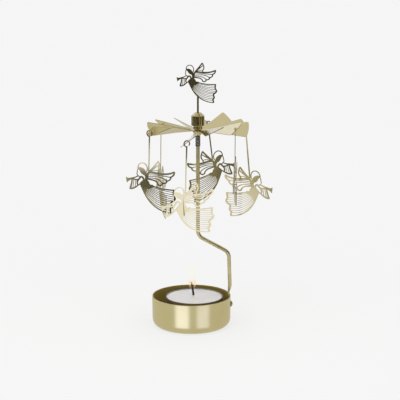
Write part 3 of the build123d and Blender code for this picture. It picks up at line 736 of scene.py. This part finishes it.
def run_tree(piece, tree, values):
    """Adds a geometry tree to a piece and sets its named inputs by their identifiers."""
    modifier = piece.modifiers.new(tree.name, "NODES")
    modifier.node_group = tree
    for item in tree.interface.items_tree:
        if item.item_type == "SOCKET" and item.in_out == "INPUT" and item.name in values:
            modifier[item.identifier] = values[item.name]


def twist_tree():
    """Gives the flat wheel its thickness, then turns each blade at its neck and lifts it."""
    tree, given, result = node_group("twist_blades", [
        ("Sheet", "NodeSocketFloat"), ("Hub radius", "NodeSocketFloat"), ("Neck length", "NodeSocketFloat"),
        ("Spindle", "NodeSocketVector"), ("Brass", "NodeSocketMaterial")])

    def node(kind, settings=None, values=None, output=0):
        return add_node(tree, kind, settings, values).outputs[output]

    def maths(operation, first, second, clamp=False):
        return node("ShaderNodeMath", {"operation": operation, "use_clamp": clamp}, {0: first, 1: second})

    def minus(value):
        return maths("MULTIPLY", value, -1.0)

    def moved(place, step):
        return node("ShaderNodeVectorMath", {"operation": "ADD"}, {0: place, 1: step})

    def vector(**parts):
        return node("ShaderNodeCombineXYZ", None, {"xyz".index(axis): value for axis, value in parts.items()})

    def swung(place, axis, turn):
        return node("ShaderNodeVectorRotate", {"rotation_type": axis}, {"Vector": place, "Angle": turn})

    def stored(label):
        return node("GeometryNodeInputNamedAttribute", {"data_type": "FLOAT"}, {"Name": label})

    # The sheet, closed below, with its cut walls marked
    flat, sheet, root = (given.outputs[label] for label in ("Geometry", "Sheet", "Hub radius"))
    raised = add_node(tree, "GeometryNodeExtrudeMesh", {"mode": "FACES"},
                      {"Mesh": flat, "Offset Scale": sheet, "Individual": False})
    both = add_node(tree, "GeometryNodeJoinGeometry")
    for side in (raised.outputs["Mesh"], node("GeometryNodeFlipFaces", None, {"Mesh": flat})):
        tree.links.new(side, both.inputs[0])
    plate = node("GeometryNodeMergeByDistance", None, {"Geometry": both.outputs[0], "Distance": TINY})
    marked = node("GeometryNodeStoreNamedAttribute", {"data_type": "FLOAT", "domain": "FACE"},
                  {"Geometry": plate, "Selection": raised.outputs["Side"], "Name": "wall", "Value": 1.0})

    # Each point, seen along its own blade: pitched and lifted by how far along the neck it lies, and turned back
    turn = stored("turn")
    middle = moved(node("GeometryNodeInputPosition"), vector(z=maths("MULTIPLY", sheet, -0.5)))
    blade = add_node(tree, "ShaderNodeSeparateXYZ", None, {0: swung(middle, "Z_AXIS", minus(turn))}).outputs
    along = maths("SUBTRACT", blade[0], root)
    bent = maths("DIVIDE", along, given.outputs["Neck length"], clamp=True)
    pitched = swung(vector(y=blade[1], z=blade[2]), "X_AXIS", maths("MULTIPLY", stored("pitch"), bent))
    lift = minus(maths("MULTIPLY", stored("lift"), bent))
    lifted = swung(moved(pitched, vector(x=along)), "Y_AXIS", lift)
    back = swung(moved(lifted, vector(x=root)), "Z_AXIS", turn)
    placed = node("GeometryNodeSetPosition", None,
                  {"Geometry": marked, "Position": moved(back, given.outputs["Spindle"])})
    real = node("GeometryNodeRealizeInstances", None, {"Geometry": placed})
    brass = node("GeometryNodeSetMaterial", None, {"Geometry": real, "Material": given.outputs["Brass"]})
    tree.links.new(brass, result.inputs[0])
    return tree


def blade_edge(sizes):
    """Outline of one flat blade from its neck's root to its tip and back, along X."""
    root = sizes.hub_diameter / 2
    neck = root + sizes.neck_length
    half = sizes.neck_width / 2
    outer = sizes.diameter / 2
    spread = sizes.blade_spread / 2
    neck_steps, tip_steps = 8, 10
    corner_room = 1.2  # the tip's arc keeps this many corner radii away from its corners
    strip = [(root + sizes.neck_length * i / neck_steps, -half) for i in range(neck_steps)]
    straight = spread - sizes.blade_corner * corner_room / outer
    tip = []
    for i in range(tip_steps + 1):
        turn = spread * (2 * i / tip_steps - 1)
        if i in (0, tip_steps):
            tip.append((*turned((outer, 0), turn), sizes.blade_corner))
        elif abs(turn) < straight:
            tip.append(turned((outer, 0), turn))
    plate = rounded([(neck, -half)] + tip + [(neck, half)], margin=0)
    return strip + plate + [(x, -y) for x, y in reversed(strip)]


def flat_wheel(sizes):
    """The wheel as it is cut from the flat sheet, before it is twisted, with each blade's bend stored on it."""
    bm = bmesh.new()
    layers = {label: bm.verts.layers.float.new(label) for label in ("turn", "pitch", "lift")}
    step = 2 * pi / sizes.blade_count
    outline = blade_edge(sizes)
    edges = []

    def ring(points, blades):
        """A closed line of points, each with the bend of its blade."""
        verts = []
        for point, blade in zip(points, blades):
            vert = bm.verts.new((point[0], point[1], 0))
            vert[layers["turn"]] = sizes.first_blade + blade * step
            vert[layers["pitch"]] = radians(BLADE_PITCHES[blade])
            vert[layers["lift"]] = radians(BLADE_LIFTS[blade])
            verts.append(vert)
        for i, vert in enumerate(verts):
            edges.append(bm.edges.new((vert, verts[(i + 1) % len(verts)])))

    points, blades = [], []
    slit = sizes.hub_diameter / 2 / cos(step / 2)
    for blade in range(sizes.blade_count):
        middle = sizes.first_blade + blade * step
        points.append(turned((slit, 0), middle - step / 2))
        points.extend(turned(p, middle) for p in outline)
        blades.extend([blade] * (len(outline) + 1))
    ring(points, blades)
    bore_steps, hole_steps = 48, 28
    ring([turned((sizes.bore / 2, 0), 2 * pi * i / bore_steps) for i in range(bore_steps)], [0] * bore_steps)
    for blade in range(0, sizes.blade_count, 2):
        middle = sizes.first_blade + blade * step
        reach = sizes.diameter / 2 - sizes.hole_margin
        hole = []
        for i in range(hole_steps):
            spot = turned((sizes.hole_diameter / 2, 0), 2 * pi * i / hole_steps)
            hole.append(turned((reach + spot[0], spot[1]), middle))
        ring(hole, [blade] * hole_steps)
    bmesh.ops.triangle_fill(bm, use_beauty=True, use_dissolve=False, edges=edges, normal=(0, 0, 1))
    for face in bm.faces:
        face.normal_update()
        if face.normal.z < 0:
            face.normal_flip()
    return link("fan_wheel_sheet", poured("fan_wheel_sheet", bm))


class CAROUSEL_OT_dish(bpy.types.Operator):
    """Builds the drawn brass dish with its rounded foot and rim"""
    bl_idname = "carousel.dish"
    bl_label = "Dish"

    def execute(self, context):
        sizes = context.scene.carousel_dish
        radius, top = DISH.high.x - DISH.middle.x, DISH.high.z
        low = radius - (top - sizes.corner) * tan(sizes.draft) - sizes.corner * (1 / cos(sizes.draft) - 1)
        wall = sizes.wall
        outline = rounded([
            (0, 0), (low, 0, sizes.corner), (radius, top, sizes.rim), (radius - wall, top, sizes.rim),
            (low - wall, wall, sizes.corner - wall), (0, wall)], steps=14, margin=0.05)
        centre = (DISH.middle.x, DISH.middle.y, 0)
        dish = lathe("drawn_dish", outline, centre, satin_dish_brass(sizes), DISH_SEGMENTS)
        hand_over(dish, "stand", "dish_brass", "cup_dish")
        return {"FINISHED"}


class CAROUSEL_OT_rod(bpy.types.Operator):
    """Builds the bent wire with its flattened foot, and the rivet that holds it"""
    bl_idname = "carousel.rod"
    bl_label = "Stand rod and rivet"

    def execute(self, context):
        sizes = context.scene.carousel_rod
        rod = tube("bent_rod", self.stations(sizes), drawn_wire_brass("rod_brass", dull=0.08))
        hand_over(rod, "stand", "rod_brass", "stand_rod")
        hand_over(self.rivet(), "stand", "rivet_brass", "foot_rivet")
        return {"FINISHED"}

    def path(self, sizes):
        """Points along the wire above the flattened foot, with its two bends as arcs."""
        corners = [Vector((sizes.foot_x, 0, sizes.round_start)),
                   Vector((sizes.foot_x - sizes.lean, 0, sizes.lower_bend)),
                   Vector((SLEEVE.middle.x, 0, sizes.upper_bend)), Vector((SLEEVE.middle.x, 0, ROD.high.z))]
        bend_steps, spacing = 14, 3 * MM
        points = [corners[0]]
        for before, corner, after in zip(corners, corners[1:], corners[2:]):
            a, b = (before - corner).normalized(), (after - corner).normalized()
            half = a.angle(b) / 2
            reach = sizes.bend_radius / tan(half)
            centre = corner + (a + b).normalized() * (sizes.bend_radius / sin(half))
            start, end = corner + a * reach - centre, corner + b * reach - centre
            whole = start.angle(end)
            for step in range(bend_steps + 1):
                part = step / bend_steps
                points.append(centre + (start * sin((1 - part) * whole) + end * sin(part * whole)) / sin(whole))
        points.append(corners[-1])
        full = [points[0]]
        for before, after in zip(points, points[1:]):
            pieces = max(1, int((after - before).length / spacing))
            full.extend(before.lerp(after, (i + 1) / pieces) for i in range(pieces))
        return full

    def stations(self, sizes):
        """The strap with its round end, the change to round wire, and the wire along its path."""
        side, out = Vector((0, 1, 0)), Vector((1, 0, 0))
        squarish, round_section = 5.0, 2.0
        tail_steps, change_steps, tail_start = 14, 12, 0.03
        radius = sizes.diameter / 2
        width = (ROD.high.y - ROD.low.y) / 2
        thick = sizes.strap_thickness / 2
        strap_x = RIVET.low.x + RIVET_TAIL + RIVET_GAP + thick
        bottom = ROD.low.z
        stations = []
        for i in range(tail_steps):
            turn = (pi / 2) * (tail_start + (1 - tail_start) * i / (tail_steps - 1))
            stations.append((Vector((strap_x, 0, bottom + width * (1 - cos(turn)))), side * width * sin(turn),
                             out * thick, squarish))
        middle = (bottom + width + sizes.strap_top) / 2
        stations.append((Vector((strap_x, 0, middle)), side * width, out * thick, squarish))
        for i in range(change_steps + 1):
            part = i / change_steps
            z = sizes.strap_top + (sizes.round_start - sizes.strap_top) * part
            x = strap_x + (sizes.foot_x - strap_x) * part
            stations.append((Vector((x, 0, z)), side * (width + (radius - width) * ease(part)),
                             out * (thick + (radius - thick) * ease(part)),
                             squarish + (round_section - squarish) * ease(part)))
        points = self.path(sizes)
        for i in range(1, len(points)):
            ahead = points[min(i + 1, len(points) - 1)] - points[i - 1]
            across = side.cross(ahead.normalized())
            stations.append((points[i], side * radius, across * radius, round_section))
        return stations

    def rivet(self):
        """The rivet on X: a dome inside on the strap, the shank and a larger dome outside."""
        head, tail_radius, shank = 1.4 * MM, 1.7 * MM, 1.1 * MM
        start, end = RIVET.low.x, RIVET.high.x
        outline = dome(tail_radius, RIVET_TAIL, start, -1)
        outline += [(shank, start + RIVET_TAIL), (shank, end - head)]
        outline += reversed(dome((RIVET.high.z - RIVET.low.z) / 2, head, end, 1))
        return lathe("foot_rivet_domes", outline, (0, 0, RIVET.middle.z),
                     drawn_wire_brass("rivet_brass", dull=0.3), SMALL_SEGMENTS, "X")


def dome(radius, height, top, way, steps=10):
    """Points from a dome's crown to its edge. The crown is at top, and way says which side it is on."""
    sphere = (radius ** 2 + height ** 2) / (2 * height)
    whole = asin(radius / sphere)
    return [(sphere * sin(whole * i / steps), top - way * sphere * (1 - cos(whole * i / steps)))
            for i in range(steps + 1)]


class CAROUSEL_OT_spindle(bpy.types.Operator):
    """Builds the steel sleeve, and finishes the needle and the pivot cup"""
    bl_idname = "carousel.spindle"
    bl_label = "Sleeve and needle"

    def execute(self, context):
        low, high = SLEEVE.low.z, SLEEVE.high.z
        radius = SLEEVE.high.x - SLEEVE.middle.x
        inner, bore, step = 1.26 * MM, 0.61 * MM, 3.6 * MM
        foot_round, top_round, chamfer = 0.12 * MM, 0.1 * MM, 0.3 * MM
        grooves, groove_half, groove_depth = 9, 0.16 * MM, 0.09 * MM
        first_share, last_share = 0.10, 0.86  # of the sleeve's height, for the lowest and the highest groove
        corners = [(inner, low), (radius, low, foot_round)]
        for i in range(grooves):
            z = low + (high - low) * (first_share + (last_share - first_share) * i / (grooves - 1))
            corners += [(radius, z - groove_half), (radius - groove_depth, z), (radius, z + groove_half)]
        corners += [(radius, high - chamfer, top_round), (radius - chamfer, high, top_round), (bore, high),
                    (bore, low + step), (inner, low + step)]
        sleeve = lathe("needle_sleeve_tube", rounded(corners, 3), (SLEEVE.middle.x, 0, 0),
                       mottled_steel("sleeve_steel", coarse=900), SMALL_SEGMENTS)
        hand_over(sleeve, "stand", "sleeve_steel", "needle_sleeve")
        for node, coarse in (("needle_pin", 500), ("pivot_cup", 420)):
            dress(node, mottled_steel(node + "_steel", coarse))
        return {"FINISHED"}


class CAROUSEL_OT_hub(bpy.types.Operator):
    """Builds the turned hub cap and the tapered nut under the wheel"""
    bl_idname = "carousel.hub"
    bl_label = "Hub"

    def execute(self, context):
        brass = turned_brass()
        for name, outline, node in (("hub_cap_turned", self.cap(), "hub_cap"),
                                    ("hub_nut_turned", self.nut(), "hub_nut")):
            piece = lathe(name, outline, (CAP.middle.x, 0, 0), brass, SMALL_SEGMENTS)
            hand_over(piece, "carousel", "hub_brass", node)
        return {"FINISHED"}

    def cap(self):
        """Outline of the cap: the tenon through the wheel, the neck, the wide body and its cone, and the bores."""
        bottom, top = CAP.low.z, CAP.high.z
        radius = CAP.high.x - CAP.middle.x
        tenon, bore, neck, crown, seat = 2.2 * MM, 1.5 * MM, 3.1 * MM, 2.0 * MM, 0.66 * MM
        tenon_top, neck_top, cone = bottom + 2.3 * MM, bottom + 4.7 * MM, top - 2.0 * MM
        bore_top, seat_bottom = bottom + 8.72 * MM, top - 3.0 * MM
        neck_round, body_round, cone_round, crown_round = 0.3 * MM, 0.4 * MM, 0.45 * MM, 0.2 * MM
        return rounded([
            (bore, bottom), (tenon, bottom), (tenon, tenon_top), (neck, tenon_top, HUB_EDGE),
            (neck, neck_top, neck_round), (radius, neck_top, body_round), (radius, cone, cone_round),
            (crown, top, crown_round), (seat, top, HUB_EDGE), (seat, seat_bottom), (0, seat_bottom),
            (0, bore_top), (bore, bore_top)], 5)

    def nut(self):
        """Outline of the nut, with the pocket that takes the cap's tenon."""
        low, high = NUT.low.z, NUT.high.z
        wide = NUT.high.x - NUT.middle.x
        hole, foot, pocket, lip, pocket_depth = 1.05 * MM, 1.95 * MM, 2.22 * MM, 0.8 * MM, 1.52 * MM
        return rounded([
            (hole, low, HUB_EDGE), (foot, low, HUB_EDGE * 2), (wide, high - lip, HUB_EDGE * 2),
            (wide, high, HUB_EDGE), (pocket, high), (pocket, high - pocket_depth), (hole, high - pocket_depth)], 4)


class CAROUSEL_OT_wheel(bpy.types.Operator):
    """Cuts the fan wheel from flat sheet and twists its blades"""
    bl_idname = "carousel.wheel"
    bl_label = "Fan wheel"

    def execute(self, context):
        sizes = context.scene.carousel_wheel
        wheel = flat_wheel(sizes)
        run_tree(wheel, twist_tree(), {
            "Sheet": sizes.sheet, "Hub radius": sizes.hub_diameter / 2, "Neck length": sizes.neck_length,
            "Spindle": (SLEEVE.middle.x, 0, sizes.height),
            "Brass": cut_sheet_brass("fan_sheet_brass", ripple=0.6 * MM, rough=0.16)})
        break_edges(wheel, sizes.edge)
        smooth(wheel.data, SHEET_SMOOTH_ANGLE)
        hand_over(wheel, "carousel", "fan_brass", "fan_wheel")
        return {"FINISHED"}


class CAROUSEL_OT_top(bpy.types.Operator):
    """Finishes the thin rod on the hub and the angel that it holds"""
    bl_idname = "carousel.top"
    bl_label = "Top rod and angel"

    def execute(self, context):
        edge = context.scene.carousel_wheel.edge
        rod = cut_copy("top_rod", "top_rod_slit", edge, drawn_wire_brass("top_rod_brass", dull=0.6, rough=0.12))
        hand_over(rod, "carousel", "top_rod_brass", "top_rod")
        brass = cut_sheet_brass("top_angel_brass", ripple=0.2 * MM)
        hand_over(cut_copy("top_angel", "top_angel_sheet", edge, brass), "carousel", "top_angel_brass", "top_angel")
        return {"FINISHED"}


class CAROUSEL_OT_angels(bpy.types.Operator):
    """Finishes the hanging angels"""
    bl_idname = "carousel.angels"
    bl_label = "Hanging angels"

    def execute(self, context):
        edge = context.scene.carousel_wheel.edge
        brass = cut_sheet_brass("angel_sheet_brass", ripple=0.3 * MM, rough=0.07)
        for node in sorted(n for n in NODES if n.startswith("hanging_angel_")):
            angel = cut_copy(node, node + "_sheet", edge, brass)
            hand_over(angel, "angel_" + node.rsplit("_", 1)[1], "angel_brass", node)
        return {"FINISHED"}


class CAROUSEL_OT_tealight(bpy.types.Operator):
    """Builds the tealight: fluted foil cup, wax with its molten pool, wick and flame"""
    bl_idname = "carousel.tealight"
    bl_label = "Tealight"

    def execute(self, context):
        sizes = context.scene.carousel_tealight
        centre = (CUP.middle.x, CUP.middle.y, 0)
        hand_over(self.cup(sizes, centre), "tealight", "tealight_foil", "tealight_cup")
        hand_over(self.wax(sizes, centre), "tealight", "wax", "tealight_wax")
        hand_over(self.wick(), "tealight", "wick_cotton", "wick")
        hand_over(self.flame(sizes), "tealight", "wick_cotton")
        dress("wick_sustainer", mottled_steel("wick_tin", coarse=300))
        return {"FINISHED"}

    def cup(self, sizes, centre):
        """The cup, with flutes in its side that fade out towards its base and its rim."""
        radius = CUP.high.x - CUP.middle.x
        low, high, foil = CUP.low.z, CUP.high.z, sizes.foil
        band_low, band_high = low + sizes.corner * 1.4, high - 1.6 * MM
        fade_low, fade_high = 1.5 * MM, 1.0 * MM
        rows, steps_to_a_flute = 10, 8
        rim = foil * 0.45

        def fluted(reach, z, turn):
            if reach < radius - foil / 2:
                return reach
            inside = min(1.0, max(0.0, z - band_low) / fade_low) * min(1.0, max(0.0, band_high - z) / fade_high)
            return reach - inside * sizes.flute_depth * (1 + cos(sizes.flutes * turn)) / 2

        side = [(radius, band_low + (band_high - band_low) * i / rows) for i in range(rows + 1)]
        outline = rounded([(0, low), (radius, low, sizes.corner)] + side + [
            (radius, high, rim), (radius - foil, high, rim), (radius - foil, low + foil, sizes.corner - foil),
            (0, low + foil)], 5, 0.05)
        return lathe("tealight_cup_fluted", outline, centre, pressed_foil(), steps_to_a_flute * sizes.flutes,
                     shape=fluted)

    def wax(self, sizes, centre):
        """The wax fills the cup up to a rounded edge, and dips round the wick."""
        radius = WAX.high.x - WAX.middle.x
        low, high = WAX.low.z, WAX.high.z
        edge, edge_turns, edge_power = 0.3 * MM, (pi / 12, pi / 6), 0.12
        surface, rows, inner_edge, dip_gain = 0.2 * MM, 44, 1.0 * MM, 2.2
        outline = rounded([(0, low), (radius, low, sizes.corner - sizes.foil), (radius, high - edge)], 5)
        rim = [(radius * cos(turn) ** edge_power, high - edge + edge * sin(turn)) for turn in edge_turns]
        outline += rim + [(rim[-1][0] * (1 - i / rows), high) for i in range(rows + 1)]
        middle = Vector((TAB.middle.x, TAB.middle.y))
        wax = lathe("poured_wax_fill", outline, centre, poured_wax(middle, sizes.pool), WAX_SEGMENTS)
        for vert in wax.data.vertices:
            spot = vert.co
            across = (spot.xy - middle).length
            from_edge = radius - (spot.xy - Vector(centre[:2])).length
            if spot.z > high - surface and across < sizes.pool and from_edge > inner_edge:
                spot.z -= sizes.pool_depth * min(1.0, dip_gain * ease(1 - across / sizes.pool))
        return wax

    def wick(self):
        """Three burnt strands wound round each other along the wick's lean."""
        radius = 0.75 * MM
        low = Vector((TAB.middle.x, TAB.middle.y, WICK.low.z))
        high = Vector((WICK.low.x + radius, TAB.middle.y, WICK.high.z - 0.1 * MM))
        strands, turns, steps, around = 3, 7.0, 110, 10
        winding_share, strand_share = 0.42, 0.54  # of the wick's radius
        lean_power, taper_share, taper_power = 1.25, 0.35, 3
        bm = bmesh.new()
        for strand in range(strands):
            rows = []
            for step in range(steps + 1):
                part = step / steps
                z = low.z + (high.z - low.z) * part
                lean = max(0.0, (z - WAX.high.z) / (high.z - WAX.high.z))
                taper = radius * (1 - taper_share * lean ** taper_power)
                turn = 2 * pi * (turns * part + strand / strands)
                core = Vector((low.x + (high.x - low.x) * lean ** lean_power, low.y, z))
                core += Vector((cos(turn), sin(turn), 0)) * winding_share * taper
                rows.append([bm.verts.new(core + Vector((*turned((strand_share * taper, 0), 2 * pi * i / around), 0)))
                             for i in range(around)])
            skin(bm, rows)
        return closed_piece("burnt_wick_strands", bm, burnt_cotton())

    def flame(self, sizes):
        """A drop of light that stands on the wick, widest below its middle."""
        foot = Vector((WICK.low.x + 1.35 * MM, TAB.middle.y, WAX.high.z + 1.2 * MM))
        top = WAX.high.z + sizes.flame_height
        steps, widest, foot_power, tip_power = 40, 0.42, 0.8, 0.5
        outline = [(0.0, foot.z)]
        for i in range(1, steps):
            part = (1 - cos(pi * i / steps)) / 2
            if part < widest:
                swell = sin(pi / 2 * part / widest) ** foot_power
            else:
                swell = cos(pi / 2 * (part - widest) / (1 - widest)) ** tip_power
            outline.append((swell * sizes.flame_width / 2, foot.z + (top - foot.z) * part))
        outline.append((0.0, top))
        return lathe("candle_flame", outline, (foot.x, foot.y, 0), candle_flame(foot.z, top), FLAME_SEGMENTS)


class CAROUSEL_OT_studio(bpy.types.Operator):
    """Sets the floor, the tent, the lamps, the surroundings and the camera"""
    bl_idname = "carousel.studio"
    bl_label = "Studio"

    def execute(self, context):
        sizes = context.scene.carousel_studio
        self.floor(sizes)
        self.tent()
        self.lamps(context)
        self.world(context, sizes)
        self.camera(context, sizes)
        context.scene.view_settings.view_transform = "Standard"
        return {"FINISHED"}

    def floor(self, sizes):
        """A pale floor. The eye sees the background's tone with some of the object's shadow. The metal sees bands,
        spread so that they stand upright on the dish's wall."""
        bm = bmesh.new()
        bmesh.ops.create_circle(bm, cap_ends=True, segments=96, radius=FLOOR_RADIUS)
        finish = Finish("studio_floor")
        x, y, z = finish.axes()
        away = (x ** 2 + y ** 2) ** 0.5
        share = (1 - away.between(SHADOW_NEAR, SHADOW_FAR)) * SHADOW_SHARE
        sideways = finish.maths("WRAP", finish.maths("ARCTAN2", y, x) + pi / 2, pi, -pi)
        sideways = sideways * away / (away - DISH.high.x / 2)
        east, north = finish.maths("SINE", sideways), 0 - finish.maths("COSINE", sideways)
        tone = zoned(east, north, away, FLOOR_LEVEL, FLOOR_ZONES)
        matt = finish.node("ShaderNodeBsdfDiffuse", None, {"Color": tuple(sizes.floor)}).outputs[0]
        shown = finish.glow(tuple(sizes.background), 1 + share / (1 - share) * SHADOW_MAKE_UP)
        ray = finish.node("ShaderNodeLightPath").outputs
        for_metal = finish.shader_mix(ray["Is Glossy Ray"], matt, finish.glow(finish.light(tone)))
        for_eye = finish.shader_mix(share, shown, matt)
        material = finish.closed(finish.shader_mix(ray["Is Camera Ray"], for_metal, for_eye))
        link("floor", poured("floor", bm), material)

    def tent(self):
        """The round tent, out of the picture, with the dark and bright parts that the metal mirrors."""
        bm = bmesh.new()
        steps, hem = 72, 0.5 * MM
        rows = [[bm.verts.new((*turned((TENT_RADIUS, 0), 2 * pi * i / steps), height)) for i in range(steps)]
                for height in (hem, TENT_HEIGHT)]
        low, high = rows
        for i in range(steps):
            j = (i + 1) % steps
            bm.faces.new((low[i], low[j], high[j], high[i]))
        finish = Finish("studio_tent")
        x, y, z = finish.axes()
        tone = zoned(x / TENT_RADIUS, y / TENT_RADIUS, z, TENT_LEVEL, TENT_ZONES)
        tent = closed_piece("tent", bm, finish.closed(finish.glow(finish.light(tone))))
        tent.visible_camera = False
        tent.visible_diffuse = False
        tent.visible_shadow = False
        tent.visible_transmission = False

    def lamps(self, context):
        """Soft boxes that light wax and floor and that the metal doesn't mirror."""
        for name, azimuth, elevation, distance, power in SOFT_BOXES:
            light = bpy.data.lights.new(name, "AREA")
            light.shape = "RECTANGLE"
            light.size, light.size_y, light.energy = SOFT_BOX_WIDTH, SOFT_BOX_HEIGHT, power
            lamp = bpy.data.objects.new(name, light)
            a, e = radians(azimuth), radians(elevation)
            way = Vector((cos(a) * cos(e), sin(a) * cos(e), sin(e)))
            lamp.location = SOFT_BOX_AIM + way * distance
            lamp.rotation_euler = (-way).to_track_quat("-Z", "Y").to_euler()
            lamp.visible_glossy = False
            context.scene.collection.objects.link(lamp)

    def world(self, context, sizes):
        """Background for the camera, a soft dome with its own tones for the metal, and even light for the rest."""
        world = bpy.data.worlds.new("studio_world")
        context.scene.world = world
        finish = Finish("studio_world", world)
        x, y, z = finish.axes()
        flat = (x ** 2 + y ** 2) ** 0.5 + DOME_POLE
        tone = zoned(x / flat, y / flat, z, DOME_LEVEL, DOME_ZONES)
        shown, mirrored, soft = (
            finish.node("ShaderNodeBackground", None, {"Color": colour, "Strength": strength}).outputs[0]
            for colour, strength in ((tuple(sizes.background), 1.0), (finish.light(tone), 1.0),
                                     (SOFT_WHITE, SOFT_LIGHT)))
        ray = finish.node("ShaderNodeLightPath").outputs
        light = finish.shader_mix(ray["Is Glossy Ray"], soft, mirrored)
        finish.closed(finish.shader_mix(ray["Is Camera Ray"], light, shown), "ShaderNodeOutputWorld")

    def camera(self, context, sizes):
        """The camera stands in front of the object and looks a little down at it."""
        lens = bpy.data.cameras.new("view")
        lens.lens = sizes.lens / MM
        lens.sensor_width = FILM_WIDTH / MM
        lens.clip_start = CLIP_START
        camera = bpy.data.objects.new("view", lens)
        pitch = sizes.pitch
        camera.location = (sizes.target_x, -sizes.distance * cos(pitch), sizes.target_z + sizes.distance * sin(pitch))
        camera.rotation_euler = (pi / 2 - pitch, sizes.roll, 0)
        context.scene.collection.objects.link(camera)
        context.scene.camera = camera


PIECES = (CAROUSEL_OT_dish, CAROUSEL_OT_rod, CAROUSEL_OT_spindle, CAROUSEL_OT_hub, CAROUSEL_OT_wheel,
          CAROUSEL_OT_top, CAROUSEL_OT_angels, CAROUSEL_OT_tealight, CAROUSEL_OT_studio)


class CAROUSEL_PT_panel(bpy.types.Panel):
    """Lists the pieces of the carousel"""
    bl_idname = "CAROUSEL_PT_panel"
    bl_label = "Angel chime carousel"
    bl_space_type = "VIEW_3D"
    bl_region_type = "UI"
    bl_category = "Carousel"

    def draw(self, context):
        for piece in PIECES:
            self.layout.operator(piece.bl_idname)
        for group in GROUPS:
            box = self.layout.box()
            values = getattr(context.scene, group)
            for key in values.__annotations__:
                box.prop(values, key)


GROUPS = {"carousel_dish": DishSizes, "carousel_rod": RodSizes, "carousel_wheel": WheelSizes,
          "carousel_tealight": TealightSizes, "carousel_finish": CarouselFinish, "carousel_studio": StudioSettings}


def register():
    for group in (*GROUPS.values(), *PIECES, CAROUSEL_PT_panel):
        bpy.utils.register_class(group)
    for name, group in GROUPS.items():
        setattr(bpy.types.Scene, name, PointerProperty(type=group))


def unregister():
    for name in GROUPS:
        delattr(bpy.types.Scene, name)
    for group in reversed((*GROUPS.values(), *PIECES, CAROUSEL_PT_panel)):
        bpy.utils.unregister_class(group)


def main():
    register()
    for piece in PIECES:
        family, name = piece.bl_idname.split(".")
        getattr(getattr(bpy.ops, family), name)()


if __name__ == "__main__":
    main()
